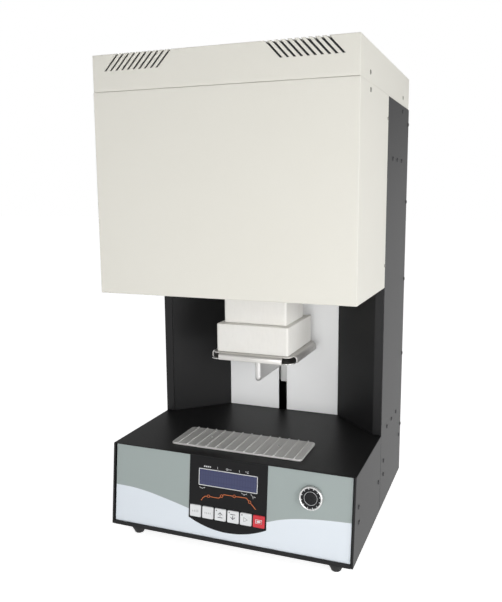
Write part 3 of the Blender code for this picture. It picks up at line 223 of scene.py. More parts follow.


# The fourth colour of each powder is its edge colour, lighter than the paint: wear and a painted
# highlight.
CREAM = powder("cream_paint", (0.76, 0.745, 0.68), (0.735, 0.715, 0.645), (0.84, 0.83, 0.78), 0.48)
BLACK = powder("black_paint", (0.0095, 0.0095, 0.010), (0.0065, 0.0065, 0.007),
               (0.05, 0.05, 0.05), 0.44, specular=0.22, grain=0.10, cloud=0.6)
WHITE = powder("white_paint", (0.90, 0.905, 0.905), (0.875, 0.88, 0.88), (0.93, 0.93, 0.93), 0.45)
GREY_PRINT = printed("grey_green_print", (0.335, 0.385, 0.375), (0.32, 0.37, 0.36), 0.40)
PALE_PRINT = printed("pale_print", (0.77, 0.825, 0.88), (0.75, 0.805, 0.865), 0.38)
BLACK_FILM = printed("black_film", (0.006, 0.006, 0.0065), (0.010, 0.010, 0.011), 0.42, 0.14)
MARK_WHITE = printed("mark_white", (0.72, 0.73, 0.74), (0.62, 0.63, 0.64), 0.45)
MARK_GREY = printed("mark_grey", (0.42, 0.43, 0.44), (0.36, 0.37, 0.38), 0.45)
MARK_DARK = printed("mark_dark", (0.05, 0.05, 0.06), (0.08, 0.08, 0.09), 0.45)
MARK_ORANGE = printed("mark_orange", (0.60, 0.15, 0.035), (0.50, 0.11, 0.02), 0.42)
KEY_WHITE = plastic("white_key_plastic", (0.78, 0.79, 0.80), (0.73, 0.745, 0.76), 0.36, 0.05)
KEY_RED = plastic("red_key_plastic", (0.66, 0.028, 0.045), (0.55, 0.018, 0.03), 0.34, 0.05)
KNOB_FACE = plastic("knob_plastic", (0.007, 0.007, 0.008), (0.012, 0.012, 0.014), 0.45,
                    specular=0.2)
MOULDED = plastic("moulded_black", (0.016, 0.016, 0.018), (0.026, 0.026, 0.028), 0.48, 0.2)
STEEL_X = brushed("brushed_steel_x", (0.60, 0.585, 0.565), (0.46, 0.45, 0.43), 0.40,
                  (0.03, 1, 1), metal=0.75)
STEEL_Y = brushed("brushed_steel_y", (0.60, 0.595, 0.585), (0.46, 0.455, 0.45), 0.38,
                  (1, 0.03, 1), metal=0.75)
STEEL_Z = brushed("brushed_steel_z", (0.66, 0.66, 0.65), (0.50, 0.50, 0.49), 0.36,
                  (1, 1, 0.03), metal=0.75)
GROUND = brushed("ground_steel", (0.66, 0.66, 0.65), (0.5, 0.5, 0.5), 0.20, (1, 1, 0.2), 0.12)
ALUMINIUM = brushed("extruded_aluminium", (0.66, 0.655, 0.64), (0.54, 0.535, 0.52), 0.46,
                    (1, 0.02, 1), 0.3, metal=0.30)
TURNED = brushed("turned_aluminium", (0.70, 0.70, 0.695), (0.54, 0.54, 0.535), 0.28, (1, 1, 1),
                 0.1, metal=0.75)
ZINC = brushed("zinc_screw", (0.30, 0.29, 0.26), (0.16, 0.155, 0.14), 0.38, (1, 1, 1), 0.1)


def make_rubber():
    look = Look("black_rubber", (0.016, 0.016, 0.017), 0.75, specular=0.35)
    look.tint(50, (0.035, 0.034, 0.033), 0.6).vary_rough(120, 0.66, 0.85)
    look.grain(1800, 0.3, 0.0002)
    return look.done()


def make_fibre():
    """Ceramic fibre board: matted fibres, small pits and a faint warm cast."""
    look = Look("white_fibre", (0.84, 0.83, 0.80), 0.92, specular=0.25)
    look.tint(22, (0.79, 0.77, 0.72), 0.55).tint(240, (0.74, 0.73, 0.70), 0.30, (1, 1, 0.35))
    look.mix(look.spread(look.cells(190), 0.35, 0, 0.02, 0.16), (0.70, 0.68, 0.64))
    look.vary_rough(80, 0.86, 0.98)
    look.grain(260, 0.35, 0.0006, (1, 1, 0.4), 6.0).grain(1300, 0.4, 0.0002, (0.5, 1, 1), 4.0)
    look.bump(look.spread(look.cells(150), 0, 1, 0.02, 0.2), 0.18, 0.0004)
    return look.done()


def make_ceramic(name, colour, second):
    look = Look(name, colour, 0.55)
    look.tint(40, second, 0.7).vary_rough(150, 0.4, 0.7)
    look.grain(900, 0.25, 0.0002, detail=5.0)
    return look.done()


def make_display():
    """Backlit character display: two rows of dot cells behind smoked glass."""
    look = Look("display_glass", (0.028, 0.034, 0.090), 0.25, specular=0.3)
    split = look.node("ShaderNodeSeparateXYZ")
    look.link(look.coord, split.inputs[0])
    plane = look.node("ShaderNodeCombineXYZ")
    look.link(split.outputs["X"], plane.inputs["X"])
    look.link(split.outputs["Z"], plane.inputs["Y"])
    mapping = look.node("ShaderNodeMapping")
    mapping.inputs["Location"].default_value = (0.0008, 0.0046, 0)
    look.link(plane.outputs["Vector"], mapping.inputs["Vector"])
    for width, height, mortar, colour, amount in (
            (0.0042, 0.0088, 0.0005, (0.038, 0.046, 0.115), 0.75),
            (0.0007, 0.0010, 0.0001, (0.032, 0.039, 0.100), 0.45)):
        brick = look.node("ShaderNodeTexBrick", offset=0.0)
        for key, value in (("Scale", 1.0), ("Brick Width", width), ("Row Height", height),
                           ("Mortar Size", mortar)):
            brick.inputs[key].default_value = value
        look.link(mapping.outputs["Vector"], brick.inputs["Vector"])
        look.mix(look.spread(brick.outputs["Fac"], amount, 0, 0, 1), colour)
    look.tint(25, (0.034, 0.036, 0.098), 0.3)
    look.vary_rough(40, 0.18, 0.26)
    look.shader.inputs["Emission Color"].default_value = (0.06, 0.07, 0.30, 1)
    look.shader.inputs["Emission Strength"].default_value = 0.03
    look.coat(0.25, 0.10)
    return look.done()


def make_board():
    look = Look("green_board", (0.015, 0.11, 0.045), 0.38)
    look.mix(look.spread(look.cells(260, feature="DISTANCE_TO_EDGE"), 0.8, 0, 0.02, 0.08),
             (0.03, 0.20, 0.08))
    look.mix(look.spread(look.cells(420), 0.9, 0, 0.05, 0.12), (0.55, 0.53, 0.48))
    look.vary_rough(100, 0.3, 0.5).grain(900, 0.2, 0.0001)
    return look.done()


def make_winding():
    """Laminated core and lacquered copper: fine bands with warm variation."""
    look = Look("copper_brown", (0.24, 0.10, 0.045), 0.42)
    look.tint(900, (0.10, 0.045, 0.025), 0.9, (0.02, 1, 0.02)).tint(30, (0.33, 0.15, 0.06), 0.6)
    look.vary_rough(200, 0.3, 0.55).grain(900, 0.6, 0.0003, (0.02, 1, 0.02))
    return look.done()


RUBBER, FIBRE = make_rubber(), make_fibre()
ELEMENT = make_ceramic("dark_ceramic", (0.13, 0.12, 0.12), (0.24, 0.21, 0.19))
PROBE = make_ceramic("probe_ceramic", (0.80, 0.78, 0.71), (0.70, 0.66, 0.57))
DISPLAY, BOARD, WINDING = make_display(), make_board(), make_winding()


# Mesh helpers
def build(name, bm, mats, body, frame_matrix=None, smooth=35, stands_for=()):
    """Turn a bmesh into a piece that rides on a body and may stand for CAD nodes."""
    bmesh.ops.recalc_face_normals(bm, faces=bm.faces)
    if frame_matrix is not None:
        bmesh.ops.transform(bm, matrix=frame_matrix, verts=bm.verts)
    mesh = bpy.data.meshes.new(name)
    bm.to_mesh(mesh)
    bm.free()
    for mat in mats:
        mesh.materials.append(mat)
    for face in mesh.polygons:
        face.use_smooth = True
    mesh.set_sharp_from_angle(angle=math.radians(smooth))
    obj = bpy.data.objects.new(name, mesh)
    scene.collection.objects.link(obj)
    if stands_for:
        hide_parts(*stands_for)
    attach(obj, body)
    return obj


def bridge(bm, loops, mat=0, cap_first=True, cap_last=True):
    """Skin closed loops of equal length and close the ends."""
    rings = [[bm.verts.new(point) for point in loop] for loop in loops]
    count = len(rings[0])
    faces = []
    for here, there in zip(rings, rings[1:]):
        for n in range(count):
            after = (n + 1) % count
            faces.append(bm.faces.new((here[n], here[after], there[after], there[n])))
    if cap_first:
        faces.append(bm.faces.new(rings[0]))
    if cap_last:
        faces.append(bm.faces.new(rings[-1]))
    for face in faces:
        face.material_index = mat
    return rings


def rounded(half_u, half_v, radius, centre=(0, 0), steps=6):
    """Points of a rectangle with round corners."""
    points = []
    for quarter, (su, sv) in enumerate(((1, 1), (-1, 1), (-1, -1), (1, -1))):
        for n in range(steps + 1):
            angle = math.pi / 2 * (quarter + n / steps)
            points.append((centre[0] + su * (half_u - radius) + radius * math.cos(angle),
                           centre[1] + sv * (half_v - radius) + radius * math.sin(angle)))
    return points


def slab(bm, half_u, half_v, radius, levels, place, centre=(0, 0), mat=0, steps=6):
    """Rounded rectangle carried through (inset, level) steps, so its rims are eased."""
    loops = []
    for inset, level in levels:
        outline = rounded(half_u - inset, half_v - inset, max(radius - inset, radius * 0.25),
                          centre, steps)
        loops.append([place(u, v, level) for u, v in outline])
    return bridge(bm, loops, mat)


def eased(low, high, rim, steps=3):
    """Levels of a slab whose two rims are rounded by rim."""
    levels = []
    for n in range(steps + 1):
        angle = math.pi / 2 * n / steps
        levels.append((rim * (1 - math.sin(angle)), low + rim * (1 - math.cos(angle))))
    for n in range(steps + 1):
        angle = math.pi / 2 * n / steps
        levels.append((rim * (1 - math.cos(angle)), high - rim * (1 - math.sin(angle))))
    return levels


def prism(bm, outline, low, high, place, holes=(), mat=0):
    """Flat shape of any outline, with holes, between two levels."""
    loops = [list(outline), *holes]
    spots = [point for loop in loops for point in loop]
    triangles = tessellate_polygon([[Vector((u, v, 0)) for u, v in loop] for loop in loops])
    lower = [bm.verts.new(place(u, v, low)) for u, v in spots]
    upper = [bm.verts.new(place(u, v, high)) for u, v in spots]
    faces = []
    for triangle in triangles:
        faces.append(bm.faces.new([lower[n] for n in triangle]))
        faces.append(bm.faces.new([upper[n] for n in triangle]))
    start = 0
    for loop in loops:
        for n in range(len(loop)):
            a, b = start + n, start + (n + 1) % len(loop)
            faces.append(bm.faces.new((lower[a], lower[b], upper[b], upper[a])))
        start += len(loop)
    for face in faces:
        face.material_index = mat


def lathe(bm, profile, place, steps=40, mats=None):
    """Turn (radius, height) points; place puts (x, y, height) in the world."""
    rings = []
    for radius, height in profile:
        count = steps if radius > 0 else 1
        rings.append([bm.verts.new(place(radius * math.cos(math.tau * n / steps),
                                         radius * math.sin(math.tau * n / steps), height))
                      for n in range(count)])
    for index, (here, there) in enumerate(zip(rings, rings[1:])):
        for n in range(steps):
            quad = [here[n % len(here)], here[(n + 1) % len(here)],
                    there[(n + 1) % len(there)], there[n % len(there)]]
            face = bm.faces.new(list(dict.fromkeys(quad)))
            face.material_index = mats[index] if mats else 0


def flat(u, v, level):
    """Level plane: u to the right, v to the rear, level upwards."""
    return Vector((u, v, level))


def on_front(u, v, level):
    """Panel plane: u to the right, v up the slope, level outwards."""
    return Vector((u, -level, v))


def smooth_path(points, steps=6):
    """Catmull-Rom curve through the points."""
    ends = [points[0], *points, points[-1]]
    path = []
    for a, b, c, d in zip(ends, ends[1:], ends[2:], ends[3:]):
        for n in range(steps):
            t = n / steps
            path.append(tuple(
                0.5 * (2 * q + (r - p) * t + (2 * p - 5 * q + 4 * r - s) * t * t
                       + (3 * q - p - 3 * r + s) * t ** 3)
                for p, q, r, s in zip(a, b, c, d)))
    path.append(points[-1])
    return path


def stroke(bm, points, width, low, high, place, mat=0, closed=False):
    """Flat raised line along (u, v) points with mitred bends."""
    count = len(points)
    left, right = [], []
    for n, (u, v) in enumerate(points):
        before = points[n - 1] if n or closed else points[n]
        after = points[(n + 1) % count] if n < count - 1 or closed else points[n]
        first = Vector((u - before[0], v - before[1]))
        second = Vector((after[0] - u, after[1] - v))
        along = Vector((0, 0))
        for part in (first, second):
            if part.length > 0:
                along += part.normalized()
        along.normalize()
        side = Vector((-along.y, along.x))
        bend = max(0.5, abs(side.dot(Vector((-second.y, second.x)).normalized()))
                   if second.length > 0 else 1.0)
        reach = side * width / 2 / bend
        left.append((u + reach.x, v + reach.y))
        right.append((u - reach.x, v - reach.y))
    last = count if closed else count - 1
    for n in range(last):
        after = (n + 1) % count
        prism(bm, [left[n], left[after], right[after], right[n]], low, high, place, mat=mat)
    bmesh.ops.remove_doubles(bm, verts=bm.verts, dist=0.000001)


def ring_points(radius, centre, steps=24, start=0.0, span=math.tau):
    count = steps if span == math.tau else steps + 1
    return [(centre[0] + radius * math.cos(start + span * n / steps),
             centre[1] + radius * math.sin(start + span * n / steps)) for n in range(count)]


def frame_to(point, normal):
    """Matrix that puts +Z along a normal at a point."""
    turn = Vector(normal).normalized().to_track_quat("Z", "Y").to_matrix().to_4x4()
    return Matrix.Translation(point) @ turn


def screw_head(bm, point, normal, radius, height, socket="cross"):
    """Button head with a rounded dome and a cross or hex recess."""
    matrix = frame_to(point, normal)
    dome = [(radius, -0.0003), (radius, height * 0.30), (radius * 0.90, height * 0.62),
            (radius * 0.70, height * 0.86), (radius * 0.50, height * 0.97)]
    rings = []
    steps = 24
    for r, h in dome:
        rings.append([matrix @ Vector((r * math.cos(math.tau * n / steps),
                                       r * math.sin(math.tau * n / steps), h))
                      for n in range(steps)])
    for depth in (height * 0.97, height * 0.35):
        loop = []
        for n in range(steps):
            angle = math.tau * n / steps
            if socket == "hex":
                r = radius * 0.46 * math.cos(math.pi / 6) / math.cos(
                    (angle + math.pi / 6) % (math.pi / 3) - math.pi / 6)
            else:
                near = abs(math.sin(2 * angle))
                r = radius * (0.46 - 0.30 * min(1, near * 1.7))
            loop.append(matrix @ Vector((r * math.cos(angle), r * math.sin(angle), depth)))
        rings.append(loop)
    bridge(bm, rings)


def screws(name, places, mat, body="furnace", radius=0.0028, height=0.0011,
           socket="cross"):
    bm = bmesh.new()
    for point, normal in places:
        screw_head(bm, point, normal, radius, height, socket)
    return build(name, bm, [mat], body, smooth=40)


# Materials of the nodes carried over from the CAD
def dress(mat, *names):
    for name in names:
        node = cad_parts[name]
        for n in range(max(1, len(node.material_slots))):
            if node.material_slots:
                node.material_slots[n].material = mat
            else:
                node.data.materials.append(mat)


dress(CREAM, "cabinet_shell", "top_cap")
dress(BLACK, "base_shell", "base_pan", "tower_side_left", "tower_side_right",
      "inner_wall_left", "inner_wall_right", "rear_panel")
dress(WHITE, "slotted_back_plate")
dress(GREY_PRINT, "fascia")
dress(BLACK_FILM, "keypad_overlay")
dress(BOARD, "keypad_board", "power_board")
dress(MOULDED, "display_module", "lift_motor", "fan_frame", "fan_rotor", "power_inlet",
      "power_switch")
dress(STEEL_X, "chamber_floor", "lift_head", "lift_base", "lift_frame")
dress(STEEL_Z, "lift_arm", "lift_carriage", "knob_encoder")
dress(GROUND, "guide_rod_left", "guide_rod_right", "lead_screw")
dress(TURNED, "screw_coupling")
dress(FIBRE, "insulation_mouth", "insulation_left", "insulation_right", "insulation_front",
      "insulation_back", "insulation_roof")
dress(ELEMENT, *[f"heating_element_{n}" for n in range(1, 5)])
dress(PROBE, "temperature_probe")
dress(WINDING, "transformer")


# Printed front, display, keys and knob
WAVE_LEFT = [(-184.6, 58.7), (-155.7, 58.0), (-127.0, 54.6), (-98.9, 49.1), (-78.2, 44.7),
             (-58.0, 40.0)]
WAVE_RIGHT = [(62.0, 39.6), (82.7, 46.7), (106.6, 52.1), (136.0, 56.1), (162.0, 58.1),
              (184.6, 59.3)]
PRINT_SHIFT, PRINT_TOP = 0.8, 123.5


def print_point(x, z):
    """Printed place from millimetres across and up, to panel metres."""
    return ((x - PRINT_SHIFT) * MM, (z - PRINT_TOP) * MM)


def make_prints():
    half, top, bottom = 0.1852, -0.0018, -0.1238
    left = [print_point(*p) for p in smooth_path(WAVE_LEFT)]
    right = [print_point(*p) for p in smooth_path(WAVE_RIGHT)]
    left[0], right[-1] = (-half, left[0][1]), (half, right[-1][1])
    low, high = -0.0008, -0.0005
    upper = bmesh.new()
    prism(upper, [(-half, top), *left, (left[-1][0], top)], low, high, on_front)
    prism(upper, [(right[0][0], top), *right, (half, top)], low, high, on_front)
    build("panel_print_upper", upper, [GREY_PRINT], "furnace", PANEL)
    lower = bmesh.new()
    arc = [(left[-1][0] + (right[0][0] - left[-1][0]) * n / 12,
            left[-1][1] - 0.010 - 0.012 * math.sin(math.pi * n / 12)) for n in range(13)]
    prism(lower, [*left, *arc, *right, (half, bottom), (-half, bottom)], low, high, on_front)
    build("panel_print_lower", lower, [PALE_PRINT], "furnace", PANEL)
    strip = bmesh.new()
    prism(strip, [(PRINT_X - 0.0613, -0.0026), (PRINT_X + 0.0613, -0.0026),
                  (PRINT_X + 0.0613, top), (PRINT_X - 0.0613, top)], low, -0.0002, on_front)
    build("overlay_top_edge", strip, [BLACK_FILM], "furnace", PANEL)


def make_keypad_marks():
    """White frame, scale marks and brackets, and the orange firing curve."""
    low, high = -0.0001, 0.00012
    bm = bmesh.new()
    prism(bm, rounded(0.0463, 0.01255, 0.0010, WINDOW, 3), low, high, on_front,
          holes=[rounded(0.0453, 0.01155, 0.0005, WINDOW, 3)])
    row = 107.3
    for x in (-35.2, -32.2, -29.2, -26.2):
        u, v = print_point(x, row)
        prism(bm, rounded(0.0010, 0.0010, 0.0003, (u, v), 2), low, high, on_front)
    for x in (-14.5, 19.9):
        u, v = print_point(x, row)
        prism(bm, [(u - 0.00025, v - 0.0017), (u + 0.00025, v - 0.0017),
                   (u + 0.00025, v + 0.0017), (u - 0.00025, v + 0.0017)], low, high, on_front)
    clock = print_point(0.6, row)
    stroke(bm, ring_points(0.0013, clock, 20), 0.0004, low, high, on_front, closed=True)
    stroke(bm, [(clock[0], clock[1] + 0.0009), clock, (clock[0] + 0.0007, clock[1])], 0.0003,
           low, high, on_front)
    for x in (3.6, 6.4):
        u, v = print_point(x, row)
        prism(bm, rounded(0.0009, 0.0004, 0.0002, (u, v), 2), low, high, on_front)
    stroke(bm, ring_points(0.0006, print_point(30.0, row + 0.8), 14), 0.0003, low, high,
           on_front, closed=True)
    stroke(bm, ring_points(0.0013, print_point(33.2, row), 16, math.radians(50),
                           math.radians(260)), 0.0005, low, high, on_front)
    for x0, x1, z0, z1 in ((-42.4, -34.0, 75.0, 75.0), (24.0, 32.4, 75.5, 75.2),
                           (38.6, 45.7, 76.0, 72.5)):
        middle = (x0 + x1) / 2
        points = [print_point(*p) for p in (
            (x0, z0 + 1.4), (x0 + 0.6, z0), (middle - 1.2, (z0 + z1) / 2), (middle, z1 - 1.6),
            (middle + 1.2, (z0 + z1) / 2), (x1 - 0.6, z1), (x1, z1 + 1.4))]
        stroke(bm, points, 0.00045, low, high, on_front)
    build("keypad_marks", bm, [MARK_WHITE], "furnace", PANEL)

    bm = bmesh.new()
    curve = [(-39.2, 56.2), (-36.6, 60.2), (-33.3, 62.8), (-27.7, 63.7), (-18.0, 63.2),
             (-11.2, 63.4), (-6.8, 67.1), (-3.2, 69.8), (13.0, 69.8), (31.7, 70.2),
             (37.1, 65.2), (46.7, 55.8)]
    stroke(bm, [print_point(*p) for p in curve], 0.00095, low, high, on_front)
    for x, z in ((-27.7, 63.7), (-6.8, 67.1), (13.0, 69.8), (37.1, 65.2)):
        spot = print_point(x, z)
        stroke(bm, ring_points(0.0019, spot, 18), 0.0007, low, high + 0.00005, on_front,
               closed=True)
        prism(bm, ring_points(0.00155, spot, 18), low, high + 0.00004, on_front, mat=1)
    build("firing_curve", bm, [MARK_ORANGE, BLACK_FILM], "furnace", PANEL)


def make_glass():
    bm = bmesh.new()
    slab(bm, 0.0459, 0.01215, 0.0008, [(0, -0.0022), (0, -0.0006), (0.0003, -0.0003)], on_front,
         WINDOW, steps=3)
    build("display_glass", bm, [DISPLAY], "furnace", PANEL,
          stands_for=("display_window",))


def key_marks(bm, number, centre):
    """Plain signs on a key: bars, chevrons, a start triangle or a stop square."""
    u, v = centre
    low, high = 0.00115, 0.00134

    def line(points, width, mat):
        stroke(bm, [(u + a * MM, v + b * MM) for a, b in points], width, low, high, on_front,
               mat=mat)

    if number in (1, 2):
        rise = 0.5 if number == 1 else 0
        for n in range(4):
            line([(-4.2 + 2.8 * n, -1.8), (-4.2 + 2.8 * n, 0.6 + rise * n)], 0.0009, 2)
    if number in (3, 4):
        way = 1 if number == 3 else -1
        line([(-3.4, way * 0.2), (0, way * 3.4), (3.4, way * 0.2)], 0.0009, 3)
        line([(0, way * 2.6), (0, way * -2.2)], 0.0009, 3)
        line([(-3.8, way * -3.8), (3.8, way * -3.8)], 0.0009, 3)
    if number == 5:
        line([(-3.0, -3.6), (-3.0, 2.8), (2.8, -0.4), (-3.0, -3.6)], 0.0008, 2)
    if number == 6:
        line([(-4.6, -2.6), (-4.6, 2.6), (4.6, 2.6), (4.6, -2.6), (-4.6, -2.6)], 0.0007, 4)
        prism(bm, rounded(0.0027, 0.0012, 0.0002, (u, v), 2), low, high, on_front, mat=4)
    if number in (3, 4, 5):
        prism(bm, ring_points(0.0009, (u - 0.0058, v + 0.0060), 16), low, high, on_front,
              mat=3)


def make_keys():
    for number in range(1, 7):
        centre = (PRINT_X + (number - 3.5) * KEY_PITCH, -KEY_DROP)
        bm = bmesh.new()
        dished = [(0.0004, -0.0045), (0, -0.0041), (0, 0.0008), (0.0002, 0.00115),
                  (0.0006, 0.0013), (0.0011, 0.00125), (0.0015, 0.00118)]
        slab(bm, KEY_HALF, KEY_HALF, 0.0016, dished, on_front, centre, steps=5)
        key_marks(bm, number, centre)
        face = KEY_RED if number == 6 else KEY_WHITE
        build(f"key_cap_{number}", bm, [face, face, MARK_GREY, MARK_DARK, MARK_WHITE],
              f"key_body_{number}", PANEL, stands_for=(f"key_{number}",))


def knurled_ring(bm, profile, place, steps=96):
    """Closed turned profile of (radius, height, notch), notched between its teeth."""
    rings = []
    for radius, height, notch in profile:
        ring = []
        for n in range(steps):
            r = radius - (notch if n % 2 else 0)
            angle = math.tau * n / steps
            ring.append(bm.verts.new(place(r * math.cos(angle), r * math.sin(angle), height)))
        rings.append(ring)
    for here, there in zip(rings, [*rings[1:], rings[0]]):
        for n in range(steps):
            after = (n + 1) % steps
            bm.faces.new((here[n], here[after], there[after], there[n]))


def make_knob():
    """Low aluminium rim with a fine knurl, and a sunk black face with ticks and a ring."""
    middle = (KNOB_X, -KNOB_DROP)

    def place(a, b, h):
        return on_front(middle[0] + a, middle[1] + b, h)

    bm = bmesh.new()
    knurled_ring(bm, [(0.0045, 0.0006, 0), (0.0166, 0.0006, 0), (0.0170, 0.0010, 0),
                      (0.0170, 0.0015, 0), (0.0169, 0.0017, 0.00022),
                      (0.0169, 0.0037, 0.00022), (0.0169, 0.0039, 0), (0.0168, 0.0047, 0),
                      (0.0164, 0.0053, 0), (0.0158, 0.0056, 0), (0.0150, 0.0055, 0),
                      (0.0145, 0.0052, 0), (0.0144, 0.0040, 0), (0.0045, 0.0040, 0)], place)
    build("knob_rim", bm, [TURNED], "knob", PANEL, smooth=30,
          stands_for=("selector_knob",))

    bm = bmesh.new()
    lathe(bm, [(0, 0.0040), (0.01435, 0.0040), (0.01435, 0.0046), (0.0141, 0.0049),
               (0.0102, 0.0049), (0.0099, 0.0047), (0.0088, 0.0047), (0.0084, 0.0049),
               (0.0030, 0.0046), (0, 0.0046)], place, steps=64)
    for ring in range(1, 4):
        for n in range(6 * ring):
            angle = math.tau * n / (6 * ring)
            spot = (middle[0] + 0.0021 * ring * math.cos(angle),
                    middle[1] + 0.0021 * ring * math.sin(angle))
            slab(bm, 0.00050, 0.00050, 0.00045, [(0, 0.0044), (0, 0.0050), (0.0002, 0.00525)],
                 on_front, spot, steps=2)
    build("knob_face", bm, [KNOB_FACE], "knob", PANEL, smooth=30)

    bm = bmesh.new()
    low, high = 0.0048, 0.00505
    for n in range(12):
        angle = math.tau * (n + 0.45) / 12
        points = [(middle[0] + r * math.cos(angle), middle[1] + r * math.sin(angle))
                  for r in (0.0126, 0.0144)]
        stroke(bm, points, 0.0010, low, high, on_front)
    stroke(bm, ring_points(0.00935, middle, 64), 0.00042, 0.0045, 0.00495, on_front,
           closed=True)
    build("knob_ticks", bm, [MARK_WHITE], "knob", PANEL)


make_prints()
make_keypad_marks()
make_glass()
make_keys()
make_knob()


# Cooling plate and hearth
def make_cooling_plate():
    """Extruded plate: rounded corners, fluted lands and thin raised ribs."""
    half_x, half_y, low = 0.104, 0.0365, TABLE_Z + SEAT_GAP
    ribs, behind_edge = 13, 0.025
    middle_y = BASE_Y + behind_edge + half_y
    pitch = 2 * half_x / (ribs + 0.5)
    bm = bmesh.new()
    slab(bm, half_x, half_y, 0.0055, eased(low, low + 0.0030, 0.0007), flat, (0, middle_y))
    for n in range(ribs):
        slab(bm, 0.0010, half_y - 0.0002, 0.0007, eased(low + 0.0025, low + 0.0045, 0.0005, 2),
             flat, (pitch * (n - (ribs - 1) / 2), middle_y), steps=2)
    for n in range(ribs + 1):
        x = pitch * (n - ribs / 2)
        for line in (-0.0048, -0.0024, 0, 0.0024, 0.0048):
            if abs(x + line) < half_x - 0.003:
                slab(bm, 0.00032, half_y - 0.0012, 0.0002,
                     [(0, low + 0.0028), (0, low + 0.0031), (0.00015, low + 0.00325)], flat,
                     (x + line, middle_y), steps=1)
    build("cooling_rack", bm, [ALUMINIUM], "furnace",
          stands_for=("cooling_plate",))
    screws("cooling_rack_screws",
           [((side * 0.0555, -0.1018, low + 0.0031), (0, 0, 1)) for side in (-1, 1)], TURNED,
           radius=0.0021, height=0.0011, socket="hex")


def make_blocks():
    """Two stacked fibre blocks with soft, slightly worn corners."""
    bm = bmesh.new()
    slab(bm, 0.0592, 0.0607, 0.0035, eased(HEARTH_Z, HEARTH_Z + 0.044, 0.0014, 4), flat,
         (0, HEARTH_Y), steps=8)
    build("fibre_base_block", bm, [FIBRE], "hearth_lift", smooth=50,
          stands_for=("hearth_lower_block",))
    bm = bmesh.new()
    low_y, high_y = HEARTH_Y - 0.0607 + 0.0132, HEARTH_Y + 0.0607 - 0.0198
    slab(bm, 0.0517, (high_y - low_y) / 2, 0.0040,
         eased(HEARTH_Z + 0.0443, HEARTH_Z + 0.108, 0.0012, 4), flat,
         (0, (low_y + high_y) / 2), steps=8)
    build("fibre_upper_block", bm, [FIBRE], "hearth_lift", smooth=50,
          stands_for=("hearth_upper_block",))


def make_tray():
    """Sheet tray with rolled lips on all four sides and open, rounded corners."""
    bm = bmesh.new()
    half, bend, drop, corner, lip = 0.0707, 0.0055, 0.0052, 0.0100, 0.0520
    side = half - bend
    top = HEARTH_Z - SEAT_GAP
    outline, folds = [], []
    for quarter in range(4):
        turn = Matrix.Rotation(math.pi / 2 * quarter, 3, "Z")
        ends = [bm.verts.new(turn @ Vector((side, s * lip, 0))) for s in (-1, 1)]
        arc = []
        for n in range(9):
            angle = math.pi / 2 * n / 8
            arc.append(bm.verts.new(turn @ Vector((side - corner + corner * math.cos(angle),
                                                   side - corner + corner * math.sin(angle), 0))))
        outline += [*ends, *arc]
        folds.append((turn, ends))
    bm.faces.new(outline)
    for turn, ends in folds:
        last = ends
        for n in range(1, 12):
            angle = math.pi / 2 * min(n, 10) / 10
            out = side + bend * math.sin(angle)
            low = -bend * (1 - math.cos(angle)) - (drop if n == 11 else 0)
            row = [bm.verts.new(turn @ Vector((out, s * lip, low))) for s in (-1, 1)]
            bm.faces.new((last[0], row[0], row[1], last[1]))
            last = row
    bmesh.ops.transform(bm, matrix=Matrix.Translation((0, HEARTH_Y, top)), verts=bm.verts)
    tray = build("hearth_tray", bm, [STEEL_X], "hearth_lift", smooth=40,
                 stands_for=("lift_plate",))
    if tray.data.polygons[0].normal.z < 0:
        tray.data.flip_normals()
    sheet = tray.modifiers.new("sheet", "SOLIDIFY")
    sheet.thickness, sheet.offset = 0.0015, -1
    rim = tray.modifiers.new("rim", "BEVEL")
    rim.width, rim.segments, rim.limit_method = 0.0004, 2, "ANGLE"
    rim.angle_limit = math.radians(50)

    top, inner = HEARTH_Z - SEAT_GAP - 0.0088 - SEAT_GAP, half - 0.0018
    bm = bmesh.new()
    slab(bm, inner, inner, 0.0135, eased(top - 0.0016, top, 0.0007, 2), flat, (0, HEARTH_Y),
         steps=12)
    build("hearth_under_plate", bm, [GROUND], "hearth_lift",
          stands_for=("lift_frame",))


def make_arm():
    """Folded arm: round bottom and an eased nose."""
    top, height, half = 0.2693, 0.0390, 0.0047
    low = top - height
    front, rear = HEARTH_Y - 0.0365, 0.0822
    outline = [(-half, top)]
    for n in range(17):
        angle = math.pi * (1 + n / 16)
        outline.append((half * math.cos(angle), low + half + half * math.sin(angle)))
    outline.append((half, top))
    rings = []
    for n in range(6):
        angle = math.pi / 2 * n / 5
        ease = 0.0034 * (1 - math.sin(angle))
        y = front + 0.0034 * (1 - math.cos(angle))
        ring = []
        for u, v in outline:
            shrink = (half - ease) / half
            lift = ease if v < low + half + 0.0001 else 0
            ring.append(Vector((u * shrink, y, min(top, v + lift * (v < top)))))
        rings.append(ring)
    rings.append([Vector((u, rear, v)) for u, v in outline])
    bm = bmesh.new()
    bridge(bm, rings)
    build("tray_arm", bm, [STEEL_Y], "hearth_lift", smooth=45,
          stands_for=("lift_arm",))


make_cooling_plate()
make_blocks()
make_tray()
make_arm()


# Feet, screws and dark sheets behind the vents as painted shade
def make_feet():
    foot_x, front_y, rear_y = 0.1594, -0.1519, 0.149
    spots = {"foot_front_left": (-foot_x, front_y), "foot_front_right": (foot_x, front_y),
             "foot_rear_left": (-foot_x, rear_y), "foot_rear_right": (foot_x, rear_y)}
    for name, (x, y) in spots.items():
        bm = bmesh.new()
        lathe(bm, [(0, 0.0035), (0.0030, 0.0035), (0.0034, 0.0005), (0.0040, 0),
                   (0.0064, 0), (0.0070, 0.0006), (0.0085, 0.0040), (0.0107, 0.0080),
                   (0.0118, 0.0115), (0.0128, 0.0150), (0.0138, 0.0175), (0.0140, 0.0190),
                   (0.0140, 0.0212), (0.0136, 0.0217), (0, 0.0217)],
              lambda a, b, h, x=x, y=y: Vector((x + a, y + b, h)), steps=48)
        build(name.replace("foot", "rubber_foot"), bm, [RUBBER], "furnace",
              stands_for=(name,))


